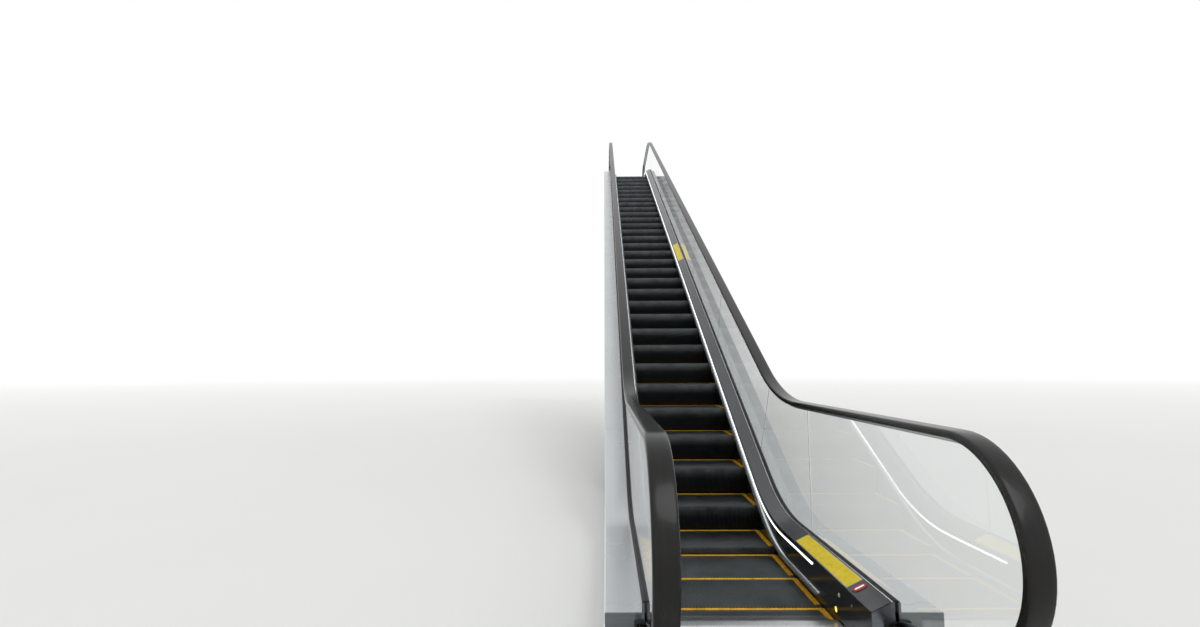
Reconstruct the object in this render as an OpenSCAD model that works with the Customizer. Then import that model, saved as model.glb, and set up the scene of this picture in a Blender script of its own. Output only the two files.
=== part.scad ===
// An escalator with glass balustrades, from its lower landing up to its upper landing.
// X runs across the steps, Y runs up the flight and Z is up. The origin lies on the underside
// of the lower frame, in the middle of the steps and below the lower comb line.

/* [Flight] */
// Height from the lower floor to the upper floor
rise = 6200; // [3000:50:8000]
// Slope of the flight in degrees
incline = 30; // [27:0.5:32]
// Distance from the lower comb line to where the line of step noses leaves the floor
knee_y = 960; // [900:5:1600]
// Radius of the lower bend of the steps
step_bend_low = 1100; // [900:50:1500]
// Radius of the upper bend of the steps
step_bend_up = 1500; // [1000:50:2700]
// Level run of steps before the upper comb line
upper_run = 860; // [800:10:1600]
// Length of the floor beyond each comb line
plate_run = 1500; // [1400:10:2500]

/* [Steps] */
// Width of a step
step_w = 800; // [600:10:830]
// Distance from one step to the next along the chain
step_pitch = 405; // [400:1:410]
// Gap between the treads of two level steps
tread_gap = 5; // [3:1:6]
// Distance from the lower comb line to the first step nose
first_nose = 160; // [20:1:380]
// Distance from one tread cleat to the next
cleat_pitch = 24; // [14:1:30]
// Width of a tread cleat
cleat_w = 12; // [6:0.5:14]
// Height of a tread cleat
cleat_h = 11; // [10:0.5:14]
// Thickness of the tread below its cleats
tread_t = 14; // [8:1:20]
// Thickness of the curved riser
riser_t = 10; // [6:1:14]
// Width of the yellow edge strips
strip_w = 27; // [20:1:40]

/* [Balustrades] */
// Distance from the side of a step to the middle of each handrail
rail_out = 110; // [104:1:140]
// Height of the handrail seat above the level steps
rail_h = 966; // [900:1:1060]
// How much lower the balustrade stands over the noses on the slope
rail_drop = 95; // [60:5:120]
// Radius of the lower bend of the handrail
rail_bend_low = 1500; // [1000:50:2500]
// Radius of the upper bend of the handrail
rail_bend_up = 2000; // [1500:50:3500]
// Radius of the handrail seat round each newel
newel_r = 340; // [330:2:370]
// Distance from the comb line back to the centre of the newel
newel_run = 845; // [800:5:880]
// Height above the floor at which the handrail enters the decks
inlet_h = 126; // [115:1:135]
// Thickness of the glass
glass_t = 10; // [8:1:12]
// Distance from the comb line to the upright joint of the glass
joint_y0 = 575; // [500:5:700]
// Length of a glass panel along the flight
panel_l = 1900; // [1200:50:2400]
// Gap between two glass panels
panel_gap = 4; // [3:0.5:6]
// Width of the handrail
rail_w = 80; // [76:1:86]
// Thickness of the handrail over its seat
rail_t = 12; // [10:1:16]
// Depth of the handrail lips below its seat
rail_lip = 16; // [12:1:20]

/* [Decks] */
// Height of the skirt top above the level steps
skirt_h = 190; // [180:1:210]
// Clearance between a step and the skirt
skirt_gap = 4; // [3:0.5:4]
// Thickness of the skirt and deck sheets
sheet_t = 3; // [2:0.5:4]
// Radius of the lower bend of the decks
deck_bend_low = 1200; // [1000:50:2000]
// Radius of the upper bend of the decks
deck_bend_up = 1700; // [1300:50:2700]
// Distance from the comb line back to the end of the decks
deck_run = 370; // [340:5:420]
// How much the inner deck rises from the skirt to the glass
deck_rise = 40; // [30:1:50]
// How far the level outer deck lies below the top of the inner deck
deck_fall = 40; // [30:1:50]
// Width of the left outer deck from the middle of the glass
left_deck_w = 176; // [150:1:260]
// Width of the right outer deck from the middle of the glass
right_deck_w = 195; // [150:1:260]
// Height of the outer deck edge
deck_edge = 45; // [25:1:60]
// Height of the brush above the level steps
brush_h = 40; // [34:1:50]
// Height of the brush above the line of step noses on the slope
brush_slope_h = 28; // [25:1:32]
// How far the brush reaches in over the step
brush_reach = 30; // [20:1:40]
// Height of the strip lights
light_h = 14; // [8:1:20]
// Distance from the skirt top down to the strip lights
light_drop = 19; // [8:1:24]

/* [Structure] */
// Depth of the lower frame below the level steps
frame_h = 120; // [115:5:160]
// Height of the landing floors above the level steps
floor_up = 15; // [12:1:18]
// Thickness of the floor plates
plate_t = 22; // [18:1:26]
// Vertical depth of the truss below the line of step noses
truss_h = 1000; // [860:20:1200]
// Thickness of the truss chords
chord_t = 80; // [60:5:90]
// Thickness of the posts and diagonals
brace_t = 50; // [30:5:80]
// Distance between truss posts
bay_l = 1180; // [900:20:1600]
// Radius of the chain rollers
roller_r = 38; // [30:1:38]
// Radius of the holes for the bolts of the upper support
bolt_r = 11; // [9:0.5:13]

/* [Hidden] */
$fn = 48;

// A path is [height on the level, height on the slope, lower bend, upper bend], with both
// heights above the line of step noses
nose_path = [0, 0, step_bend_low, step_bend_up];
deck_path = [skirt_h, skirt_h - rail_drop, deck_bend_low, deck_bend_up];
rail_path = [rail_h, rail_h - rail_drop, rail_bend_low, rail_bend_up];
brush_path = [brush_h, brush_slope_h, step_bend_low, step_bend_up];

function low_knee(p) = knee_y + (p[0] - p[1]) / tan(incline);
function up_knee(p) = low_knee(p) + rise / tan(incline);
function bend_start(p) = low_knee(p) - p[2] * tan(incline / 2);
function bend_end(p) = up_knee(p) + p[3] * tan(incline / 2);
function slope_start(p) =
    [bend_start(p) + p[2] * sin(incline), frame_h + p[0] + p[2] * (1 - cos(incline))];
function slope_end(p) =
    [bend_end(p) - p[3] * sin(incline), up_floor + p[0] - p[3] * (1 - cos(incline))];
function slope_len(p) = norm(slope_end(p) - slope_start(p));
// A path that runs at a distance d above p, square to it
function beside(p, d) = [p[0] + d, p[1] + d / cos(incline), p[2] - d, p[3] + d];
// The path p moved along Y and Z
function moved(p, dy, dz) = [p[0] + dz, p[1] + dz - dy * tan(incline), p[2], p[3]];

bend_parts = 8;
function low_bend(p) = [for (k = [0 : bend_parts]) let (a = incline * k / bend_parts)
    [bend_start(p) + p[2] * sin(a), frame_h + p[0] + p[2] * (1 - cos(a))]];
function up_bend(p) = [for (k = [bend_parts : -1 : 0]) let (a = incline * k / bend_parts)
    [bend_end(p) - p[3] * sin(a), up_floor + p[0] - p[3] * (1 - cos(a))]];
function curve(p, y0, y1) =
    concat([[y0, frame_h + p[0]]], low_bend(p), up_bend(p), [[y1, up_floor + p[0]]]);
function reversed(v) = [for (k = [len(v) - 1 : -1 : 0]) v[k]];
function arc_points(c, r, a0, a1, n) =
    [for (k = [0 : n]) let (a = a0 + (a1 - a0) * k / n) c + r * [cos(a), sin(a)]];

// Places along the flight
up_floor = frame_h + rise;
up_comb_y = bend_end(nose_path) + upper_run;
deck_y0 = -deck_run;
deck_y1 = up_comb_y + deck_run;
frame_y0 = -plate_run;
frame_y1 = up_comb_y + plate_run;
newel_y0 = -newel_run;
newel_y1 = up_comb_y + newel_run;

// Places across the flight
skirt_x = step_w / 2 + skirt_gap;
rail_x = step_w / 2 + rail_out;
seal_t = 8;
clamp_wall = 8;
clamp_depth = 70;
clamp_floor = 12;
clamp_half = glass_t / 2 + seal_t + clamp_wall;
hairline = 0.1;
base_t = 12;
truss_w = 60;
truss_x0 = rail_x - truss_w / 2;
truss_x1 = rail_x + truss_w / 2;
left_out = rail_x + left_deck_w;
right_out = rail_x + right_deck_w;
chord_top = -150;

// Extrudes a side outline, drawn as Y and Z, from x0 to x1
module across(x0, x1) {
    translate([x0, 0, 0]) rotate([90, 0, 90]) linear_extrude(x1 - x0) children();
}

// A band between two curves of the flight
module band(lower, upper, y0, y1) {
    polygon(concat(curve(lower, y0, y1), reversed(curve(upper, y0, y1))));
}

// Runs a section, drawn as height and X, from a point [y, z] up a slope
module straight(from, slope, len) {
    translate([0, from[0], from[1]]) rotate([slope, 0, 0]) rotate([-90, -90, 0])
        linear_extrude(len) children();
}

// Runs a section round a bend whose centre lies above it
module bend_rising(centre, r) {
    translate([0, centre[0], centre[1]]) rotate([90, 0, 90]) rotate([0, 0, -90])
        rotate_extrude(angle = incline) translate([r, 0]) mirror([1, 0]) children();
}

// Runs a section round a bend whose centre lies below it, between two angles from +Y
module bend_over(centre, r, a0, a1) {
    translate([0, centre[0], centre[1]]) rotate([90, 0, 90]) rotate([0, 0, a0])
        rotate_extrude(angle = a1 - a0) translate([r, 0]) children();
}

// Runs a section along a path of the flight, with a hairline joint between its lengths
module sweep(p, y0, y1) {
    straight([y0, frame_h + p[0]], 0, bend_start(p) - y0 - hairline) children();
    bend_rising([bend_start(p), frame_h + p[0] + p[2]], p[2]) children();
    straight(slope_start(p) + hairline * [cos(incline), sin(incline)], incline, slope_len(p) - 2 * hairline)
        children();
    bend_over([bend_end(p), up_floor + p[0] - p[3]], p[3], 90, 90 + incline) children();
    straight([bend_end(p) + hairline, up_floor + p[0]], 0, y1 - bend_end(p) - hairline) children();
}

module on_left() {
    mirror([1, 0, 0]) children();
}

// Round solid with its axis along X
module disc_x(x, y, z, r, w) {
    translate([x, y, z]) rotate([0, 90, 0]) cylinder(r = r, h = w);
}

// The handrail leaves each newel on a straight run that dips into the decks
inlet_dy = newel_run - deck_run;
inlet_dz = rail_h - newel_r - inlet_h;
inlet_dist = norm([inlet_dy, inlet_dz]);
run_foot = -atan2(inlet_dz, inlet_dy) - acos(newel_r / inlet_dist);
run_dip = -90 - run_foot;
run_inside = 90;
run_len = sqrt(inlet_dist * inlet_dist - newel_r * newel_r) + run_inside;
newel_h = rail_h - newel_r;
function newel_foot(r) = r * [cos(run_foot), sin(run_foot)];
function run_end(r, len) = newel_foot(r) + len * [cos(run_dip), -sin(run_dip)];

// Runs a section from the top of a newel round to the inside of the decks, with the centre of
// the newel at Y 0 and at its height above the floor
module newel_turn() {
    bend_over([0, newel_h], newel_r, 90, 360 + run_foot) children();
    tip = run_end(newel_r, run_len);
    translate([0, tip[0], newel_h + tip[1]]) rotate([180 - run_dip, 0, 0]) rotate([-90, -90, 0])
        linear_extrude(run_len - hairline) children();
}

// Runs a section along the whole handrail
module rail_sweep() {
    sweep(rail_path, newel_y0 + hairline, newel_y1 - hairline) children();
    translate([0, newel_y0, frame_h]) newel_turn() children();
    translate([0, newel_y1, up_floor]) mirror([0, 1, 0]) newel_turn() children();
}

// Lower frame

soffit_y = knee_y + (truss_h - frame_h) / tan(incline);
soffit_top_y = soffit_y + (up_floor - truss_h) / tan(incline);
end_t = 10;
rim_w = 50;
plate_z = floor_up - plate_t;
ledge = 25;

module lower_frame() {
    x0 = -left_out + sheet_t;
    w = left_out + right_out - 2 * sheet_t;
    rim_h = frame_h + plate_z - base_t;
    beam_gap = (deck_y0 - frame_y0 - rim_w) / 3;
    color("dimgray") {
        translate([x0, frame_y0, 0]) cube([w, soffit_y - frame_y0, base_t]);
        for (x = [x0, x0 + w - rim_w])
            translate([x, frame_y0, base_t]) cube([rim_w, deck_y0 - frame_y0, rim_h]);
        for (k = [0 : 3])
            translate([x0 + rim_w, frame_y0 + k * beam_gap, base_t])
                cube([w - 2 * rim_w, rim_w, rim_h]);
        translate([-skirt_x + 2, deck_y0, base_t]) cube([2 * skirt_x - 4, ledge, rim_h]);
    }
}

// Upper frame, which carries the upper floor plates on the truss

module upper_frame() {
    beam_gap = (frame_y1 - end_t - deck_y1 - rim_w) / 3;
    z = up_floor + plate_z - rim_w;
    color("dimgray") {
        for (k = [0 : 3]) {
            y = deck_y1 + k * beam_gap;
            translate([-truss_x0, y, z]) cube([2 * truss_x0, rim_w, rim_w]);
            translate([-left_out + sheet_t, y, z]) cube([left_out - sheet_t - truss_x1, rim_w, rim_w]);
            translate([truss_x1, y, z]) cube([right_out - sheet_t - truss_x1, rim_w, rim_w]);
        }
        translate([-skirt_x + 2, deck_y1 - ledge, z]) cube([2 * skirt_x - 4, ledge, rim_w]);
    }
}

// Truss

chord_path = beside(deck_path, chord_top);
end_chord_z = up_floor + plate_z - chord_t;
truss_y1 = frame_y1 - end_t;
first_post = deck_y0 + 30;
bays = floor((truss_y1 - brace_t - first_post) / bay_l);
function bay_y(k) = first_post + k * bay_l;
function slope_z(h, y) = frame_h + h + (y - knee_y) * tan(incline);
function low_chord_z(y) = min(base_t + (y - soffit_y) * tan(incline), up_floor - truss_h + base_t);
function low_edge(y) = y < soffit_y ? base_t : low_chord_z(y) + chord_t / 2;
function chord_z(y) = y > deck_y1 ? up_floor + plate_z
    : max(frame_h + chord_path[0], min(slope_z(chord_path[1], y), up_floor + chord_path[0]));
function up_edge(y) = chord_z(y) - chord_t * 0.6;

module post(y) {
    polygon([[y, low_edge(y)], [y + brace_t, low_edge(y + brace_t)],
        [y + brace_t, up_edge(y + brace_t)], [y, up_edge(y)]]);
}

module diagonal(y0, y1) {
    polygon([[y0 + brace_t / 2, up_edge(y0)], [y0 + brace_t / 2, up_edge(y0) - brace_t],
        [y1 + brace_t / 2, low_edge(y1)], [y1 + brace_t / 2, low_edge(y1) + brace_t]]);
}

module truss_side() {
    low_z = up_floor - truss_h + base_t;
    difference() {
        band(beside(chord_path, -chord_t), chord_path, deck_y0, deck_y1);
        translate([deck_y0 - 1, base_t - 1000]) square([soffit_y, 1000]);
    }
    translate([deck_y1 - chord_t, end_chord_z]) square([truss_y1 - deck_y1 + chord_t, chord_t]);
    polygon([[soffit_y, base_t], [soffit_top_y, low_z], [truss_y1, low_z], [truss_y1, low_z + chord_t],
        [soffit_top_y, low_z + chord_t], [soffit_y, base_t + chord_t]]);
    translate([truss_y1 - brace_t, low_z + 1]) square([brace_t, end_chord_z - low_z]);
    for (k = [0 : bays]) post(bay_y(k));
    for (k = [0 : bays - 1]) if (bay_y(k) > soffit_y) diagonal(bay_y(k), bay_y(k + 1));
}

module truss_left() {
    color("slategray") across(-truss_x1, -truss_x0) truss_side();
}

module truss_right() {
    color("slategray") across(truss_x0, truss_x1) truss_side();
}

module truss_ties() {
    color("slategray") for (k = [0 : bays]) let (y = bay_y(k)) if (y > soffit_y)
        translate([-truss_x0, y, low_edge(y)]) cube([2 * truss_x0, brace_t, brace_t]);
}

// Cladding

outer_deck_h = deck_rise - deck_fall;
clad_top = beside(deck_path, outer_deck_h - deck_edge);

module side_clad() {
    top = curve(clad_top, deck_y0, deck_y1);
    polygon(concat(top, [[deck_y1, up_floor + plate_z], [frame_y1, up_floor + plate_z],
        [frame_y1, up_floor - truss_h], [soffit_top_y, up_floor - truss_h], [soffit_y, 0], [deck_y0, 0]]));
}

module side_cladding_left() {
    color("silver") across(-left_out, -left_out + sheet_t) side_clad();
}

module side_cladding_right() {
    color("silver") across(right_out - sheet_t, right_out) side_clad();
}

module soffit_cladding() {
    z = up_floor - truss_h;
    color("gainsboro") across(-left_out + sheet_t, right_out - sheet_t)
        polygon([[soffit_y, 0], [soffit_top_y, z], [truss_y1, z], [truss_y1, z + base_t],
            [soffit_top_y, z + base_t], [soffit_y, base_t]]);
}

module upper_end_plate() {
    color("silver") translate([-left_out + sheet_t, truss_y1, up_floor - truss_h])
        cube([left_out + right_out - 2 * sheet_t, end_t, truss_h + plate_z]);
}

// Upper support, an angle that rests on the edge of the upper floor

support_w = 1000;
support_l = 140;
support_t = 20;
support_h = 160;
support_top = up_floor + plate_z - 40;
bolt_dx = 800;
bolt_dy = 60;
bolt_y = 50;

module upper_support() {
    color("dimgray") difference() {
        union() {
            translate([-support_w / 2, frame_y1, support_top - support_t])
                cube([support_w, support_l, support_t]);
            translate([-support_w / 2, frame_y1, support_top - support_h])
                cube([support_w, support_t, support_h - support_t]);
        }
        for (x = [-bolt_dx / 2, bolt_dx / 2], y = [bolt_y, bolt_y + bolt_dy])
            translate([x, frame_y1 + y, support_top - support_t - 1])
                cylinder(r = bolt_r, h = support_t + 2);
    }
}

// Steps

axle_y = 360;
axle_z = -104;
axle_r = 10;
trail_y = 114;
trail_z = -200;
trail_r = 34;
yoke_x = step_w / 2 - 34;
yoke_t = 12;
cleat_gap = cleat_pitch - cleat_w;
cleats = floor((step_w - 2 * strip_w - cleat_gap) / cleat_pitch);
cleat_x0 = -(cleats * cleat_pitch - cleat_gap) / 2;
tread_l = step_pitch - tread_gap;

low_run = bend_start(nose_path);
low_turn = step_bend_low * incline * PI / 180;
slope_run = slope_len(nose_path);
up_turn = step_bend_up * incline * PI / 180;
path_l = low_run + low_turn + slope_run + up_turn + upper_run;
last_step = floor((path_l - first_nose - 20) / step_pitch);
third = round((last_step + 2) / 3);

// Place of a step nose at a distance s along its path
function nose_at(s) =
    s < low_run ? [s, frame_h]
    : s < low_run + low_turn ? let (a = (s - low_run) / low_turn * incline)
        [low_run + step_bend_low * sin(a), frame_h + step_bend_low * (1 - cos(a))]
    : s < low_run + low_turn + slope_run ? let (d = s - low_run - low_turn)
        slope_start(nose_path) + d * [cos(incline), sin(incline)]
    : s < path_l - upper_run ? let (a = (path_l - upper_run - s) / up_turn * incline)
        [bend_end(nose_path) - step_bend_up * sin(a), up_floor - step_bend_up * (1 - cos(a))]
    : [bend_end(nose_path) + s - path_l + upper_run, up_floor];
function step_nose(k) = nose_at(first_nose + k * step_pitch);

// Outline across a cleated plate whose cleats stand on a base from low to high
module cleat_outline(low, high) {
    w = step_w / 2 - strip_w;
    polygon(concat([[-w, low], [w, low], [w, high]],
        [for (k = [cleats - 1 : -1 : 0]) let (x = cleat_x0 + k * cleat_pitch)
            each [[x + cleat_w, high], [x + cleat_w, 0], [x, 0], [x, high]]],
        [[-w, high]]));
}

// Side outline of the riser, an arc about the rear edge of the tread
module riser_outline() {
    c = [tread_l, 0];
    a0 = 180 + asin(cleat_h / tread_l);
    a1 = 180 + incline + 1.5;
    inner = arc_points(c, tread_l - riser_t, a0, a1, 8);
    polygon(concat(arc_points(c, tread_l, a0, a1, 8), reversed(inner)));
}

module yoke_outline() {
    under = -cleat_h - tread_t;
    polygon([[riser_t, under], [tread_l - 6, under], [tread_l - 6, axle_z - 14], [axle_y - 30, axle_z - 20],
        [trail_y + 24, trail_z - 14], [trail_y - 20, trail_z - 14], [64, trail_z]]);
}

module step_body() {
    base_z = -cleat_h - tread_t;
    front_l = tread_l - strip_w;
    translate([0, front_l, 0]) rotate([90, 0, 0]) linear_extrude(front_l) cleat_outline(base_z, -cleat_h);
    translate([-step_w / 2, front_l, base_z]) cube([step_w, strip_w, tread_t]);
    for (x = [-step_w / 2, step_w / 2 - strip_w])
        translate([x, 0, base_z]) cube([strip_w, front_l, tread_t]);
    across(-step_w / 2, step_w / 2) riser_outline();
    for (x = [-yoke_x - yoke_t, yoke_x]) across(x, x + yoke_t) yoke_outline();
}

// Keeps the part of a step above the sheet of the lower frame
module above_frame(nose) {
    if (nose[1] + trail_z - 50 < base_t) intersection() {
        children();
        translate([-step_w, nose[0] - 100, base_t + 0.3]) cube([2 * step_w, 700, 1000]);
    } else children();
}

module flight_steps(from, to) {
    color("gray") for (k = [from : to]) let (n = step_nose(k))
        above_frame(n) translate([0, n[0], n[1]]) step_body();
}

module steps_lower() {
    flight_steps(-1, third - 2);
}

module steps_middle() {
    flight_steps(third - 1, 2 * third - 2);
}

module steps_upper() {
    flight_steps(2 * third - 1, last_step);
}

// Yellow edge of a tread, along both sides and the rear
module edge_strip() {
    for (x = [-step_w / 2, step_w / 2 - strip_w])
        translate([x, 0, -cleat_h]) cube([strip_w, tread_l, cleat_h]);
    translate([-step_w / 2, tread_l - strip_w, -cleat_h]) cube([step_w, strip_w, cleat_h]);
}

module step_edges() {
    color("gold") for (k = [-1 : last_step]) let (n = step_nose(k))
        translate([0, n[0], n[1]]) edge_strip();
}

roller_x = step_w / 2 + 14;
roller_w = 22;
trail_x = yoke_x - roller_w;

// True where a step stands high enough over the lower frame to show its wheels
function chain_roller_fits(nose) = nose[1] + axle_z - roller_r > base_t + 6;
function trail_roller_fits(nose) = nose[1] + trail_z - trail_r > base_t + 6;

module step_axles() {
    color("dimgray") for (k = [-1 : last_step]) let (n = step_nose(k)) if (chain_roller_fits(n))
        for (side = [0, 1]) mirror([side, 0, 0])
            disc_x(yoke_x + yoke_t, n[0] + axle_y, n[1] + axle_z, axle_r, roller_x - yoke_x - yoke_t);
}

module rollers(nose) {
    if (chain_roller_fits(nose)) disc_x(roller_x, nose[0] + axle_y, nose[1] + axle_z, roller_r, roller_w);
    if (trail_roller_fits(nose)) disc_x(trail_x, nose[0] + trail_y, nose[1] + trail_z, trail_r, roller_w);
}

module step_rollers() {
    color("black") for (k = [-1 : last_step], side = [0, 1]) mirror([side, 0, 0]) rollers(step_nose(k));
}

// Tracks

track_gap = 0.2;
track_t = 16;
track_edge = 4;
chain_track = beside(moved(nose_path, axle_y, axle_z), -roller_r - track_gap);
trail_track = beside(moved(nose_path, trail_y, trail_z), -trail_r - track_gap);

module track_band(p) {
    difference() {
        band(beside(p, -track_t), p, 0, up_comb_y + 100);
        translate([-1, base_t - 1000]) square([soffit_y, 1000]);
    }
}

module tracks() {
    across(roller_x - track_edge, roller_x + roller_w + track_edge) track_band(chain_track);
    across(trail_x - track_edge, yoke_x - 2) track_band(trail_track);
}

module tracks_left() {
    color("gray") on_left() tracks();
}

module tracks_right() {
    color("gray") tracks();
}

// Brackets between the truss posts and the tracks

bracket_t = 12;
bracket_h = 40;
chain_under = beside(chain_track, -track_t);
trail_under = beside(trail_track, -track_t);

// The drop d is from the underside of the rear rollers' track to that of the chain rollers'
module bracket_outline(d) {
    x0 = trail_x - track_edge;
    translate([x0, -bracket_h]) square([truss_x0 - x0, bracket_h]);
    if (d > 0) translate([x0, -1]) square([yoke_x - 2 - x0, d + 1]);
    else translate([roller_x - track_edge, -1]) square([roller_w + 2 * track_edge, 1 - d]);
}

module slope_bracket(y) {
    translate([0, y, slope_z(chain_under[1], y)]) rotate([incline, 0, 0]) rotate([90, 0, 0])
        linear_extrude(bracket_t) bracket_outline((trail_under[1] - chain_under[1]) * cos(incline));
}

module level_bracket(y) {
    translate([0, y, up_floor + trail_under[0]]) rotate([90, 0, 0])
        linear_extrude(bracket_t) bracket_outline(trail_under[0] - chain_under[0]);
}

module track_brackets() {
    color("dimgray") for (side = [0, 1]) mirror([side, 0, 0]) for (k = [1 : bays]) {
        y = bay_y(k) + brace_t / 2;
        if (y > knee_y + 800 && y < slope_end(trail_under)[0] - 100) slope_bracket(y);
        if (y > bend_end(chain_under) && y < up_comb_y + 90) level_bracket(y);
    }
}

// Combs and floor plates

comb_l = 90;
tooth_l = 70;
tooth_side = 1.5;
tooth_dip = 5;
comb_gap = 2;

// A comb seen from above, with its teeth pointing along +Y from the comb line
module comb_outline() {
    translate([-step_w / 2, -comb_l]) square([step_w, comb_l]);
    for (k = [-1 : cleats - 1])
        translate([cleat_x0 + cleat_w + k * cleat_pitch + tooth_side, -1])
            square([cleat_gap - 2 * tooth_side, tooth_l + 1]);
}

module comb() {
    intersection() {
        translate([0, 0, -tooth_dip]) linear_extrude(tooth_dip + floor_up) comb_outline();
        across(-step_w / 2 - 1, step_w / 2 + 1)
            polygon([[-comb_l, comb_gap], [2, comb_gap], [8, -tooth_dip], [tooth_l, -tooth_dip],
                [tooth_l, -tooth_dip + 2], [-30, floor_up], [-comb_l, floor_up]]);
    }
}

module comb_plate() {
    across(-skirt_x + 1, skirt_x - 1)
        polygon([[-deck_run, plate_z], [-deck_run + ledge, plate_z], [-deck_run + 2 * ledge, comb_gap],
            [-comb_l, comb_gap], [-comb_l, floor_up], [-deck_run, floor_up]]);
}

module at_lower_comb() {
    translate([0, 0, frame_h]) children();
}

module at_upper_comb() {
    translate([0, up_comb_y, up_floor]) mirror([0, 1, 0]) children();
}

module combs() {
    color("silver") {
        at_lower_comb() comb();
        at_upper_comb() comb();
    }
}

module comb_plates() {
    color("silver") {
        at_lower_comb() comb_plate();
        at_upper_comb() comb_plate();
    }
}

// Two floor plates one behind the other along the way in
module landing_floor() {
    joint = 2;
    l = (plate_run - deck_run - joint) / 2;
    for (k = [0, 1]) translate([-left_out, -plate_run + k * (l + joint), plate_z])
        cube([left_out + right_out, l - joint / 2, plate_t]);
}

module floor_plates() {
    color("gray") {
        at_lower_comb() landing_floor();
        at_upper_comb() landing_floor();
    }
}

// Skirts

skirt_foot = beside(moved(nose_path, axle_y, axle_z), axle_r + 12);

module skirt() {
    across(skirt_x, skirt_x + sheet_t) band(skirt_foot, deck_path, deck_y0, deck_y1);
}

module skirt_left() {
    color("dimgray") on_left() skirt();
}

module skirt_right() {
    color("dimgray") skirt();
}

brush_y0 = 200;
holder_w = 8;
holder_h = 14;
bristle_h = 8;

// Brush and its holder on the inner face of the skirt
module skirt_brush() {
    sweep(brush_path, brush_y0, up_comb_y - brush_y0)
        polygon([[0, skirt_x], [holder_h, skirt_x], [holder_h - 2, skirt_x - holder_w],
            [bristle_h, skirt_x - holder_w], [bristle_h - 3, skirt_x - brush_reach],
            [2, skirt_x - brush_reach], [0, skirt_x - holder_w]]);
}

module skirt_brush_left() {
    color("darkslategray") on_left() skirt_brush();
}

module skirt_brush_right() {
    color("darkslategray") skirt_brush();
}

light_y0 = 300;
light_t = 5;

module skirt_light() {
    sweep(deck_path, light_y0, up_comb_y - light_y0)
        translate([-light_drop - light_h, skirt_x - light_t]) square([light_h, light_t]);
}

module skirt_lights() {
    color("white") {
        on_left() skirt_light();
        skirt_light();
    }
}

// Decks, glass clamp and seals, as sections drawn with height over the deck path and X

clamp_x0 = rail_x - clamp_half;
clamp_x1 = rail_x + clamp_half;
clamp_y0 = deck_y0 + run_inside + 10;
clamp_y1 = deck_y1 - run_inside - 10;

module inner_deck() {
    sweep(deck_path, deck_y0, deck_y1)
        polygon([[0, skirt_x], [0, skirt_x + sheet_t], [deck_rise, clamp_x0],
            [deck_rise + sheet_t, clamp_x0], [sheet_t, skirt_x]]);
}

module inner_deck_left() {
    color("darkslategray") on_left() inner_deck();
}

module inner_deck_right() {
    color("darkslategray") inner_deck();
}

module outer_deck(out) {
    sweep(deck_path, deck_y0, deck_y1)
        polygon([[outer_deck_h, clamp_x1], [outer_deck_h + sheet_t, clamp_x1], [outer_deck_h + sheet_t, out],
            [outer_deck_h - deck_edge, out], [outer_deck_h - deck_edge, out - sheet_t],
            [outer_deck_h, out - sheet_t]]);
}

module outer_deck_left() {
    color("silver") on_left() outer_deck(left_out);
}

module outer_deck_right() {
    color("silver") outer_deck(right_out);
}

module glass_clamp() {
    slot = clamp_half - clamp_wall;
    sweep(deck_path, clamp_y0, clamp_y1)
        polygon([[-clamp_depth, clamp_x0], [-clamp_depth, clamp_x1], [deck_rise, clamp_x1],
            [deck_rise, rail_x + slot], [clamp_floor - clamp_depth, rail_x + slot],
            [clamp_floor - clamp_depth, rail_x - slot], [deck_rise, rail_x - slot], [deck_rise, clamp_x0]]);
}

module glass_clamp_left() {
    color("gray") on_left() glass_clamp();
}

module glass_clamp_right() {
    color("gray") glass_clamp();
}

seal_lip = 7;

// Seals on both sides of the glass
module glass_seal() {
    for (side = [-1, 1]) {
        inner = rail_x + side * glass_t / 2;
        outer = rail_x + side * (glass_t / 2 + seal_t);
        sweep(deck_path, clamp_y0, clamp_y1)
            polygon([[clamp_floor - clamp_depth, inner], [deck_rise + seal_lip, inner],
                [deck_rise + seal_lip - 2, outer], [clamp_floor - clamp_depth, outer]]);
    }
}

module glass_seals() {
    color("black") {
        on_left() glass_seal();
        glass_seal();
    }
}

// Posts between the truss and the clamp

clamp_post_w = 30;
clamp_post_l = 60;
clamp_post_gap = 1200;

module clamp_post() {
    translate([rail_x - clamp_post_w / 2, 0, chord_top])
        cube([clamp_post_w, clamp_post_l, -clamp_depth - chord_top]);
}

module clamp_posts() {
    color("gray") for (side = [0, 1]) mirror([side, 0, 0]) {
        for (y = [clamp_y0 + 60 : 350 : bend_start(deck_path) - clamp_post_l])
            translate([0, y, frame_h + deck_path[0]]) clamp_post();
        for (d = [200 : clamp_post_gap : slope_len(deck_path) - clamp_post_l]) {
            p = slope_start(deck_path) + d * [cos(incline), sin(incline)];
            translate([0, p[0], p[1]]) rotate([incline, 0, 0]) clamp_post();
        }
        for (y = [bend_end(deck_path) + 60 : 350 : clamp_y1 - clamp_post_l])
            translate([0, y, up_floor + deck_path[0]]) clamp_post();
    }
}

// Glass

guide_grip = 24;
glass_top = beside(rail_path, -guide_grip);
glass_foot = beside(deck_path, clamp_floor - clamp_depth);
glass_r = newel_r - guide_grip;

// Outline of the glass at one end, from the top of the newel round to the clamp
function newel_glass() = concat(arc_points([0, newel_h], glass_r, 90, 360 + run_foot, 28),
    [[0, newel_h] + run_end(glass_r, run_len)], [[0, newel_h] + run_end(glass_r, run_len) + [10, 0]]);

module glass_outline() {
    low = [for (p = newel_glass()) p + [newel_y0, frame_h]];
    high = [for (p = newel_glass()) [newel_y1 - p[0], p[1] + up_floor]];
    polygon(concat(curve(glass_foot, clamp_y0, clamp_y1), reversed(high),
        reversed(curve(glass_top, newel_y0, newel_y1)), low));
}

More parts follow.
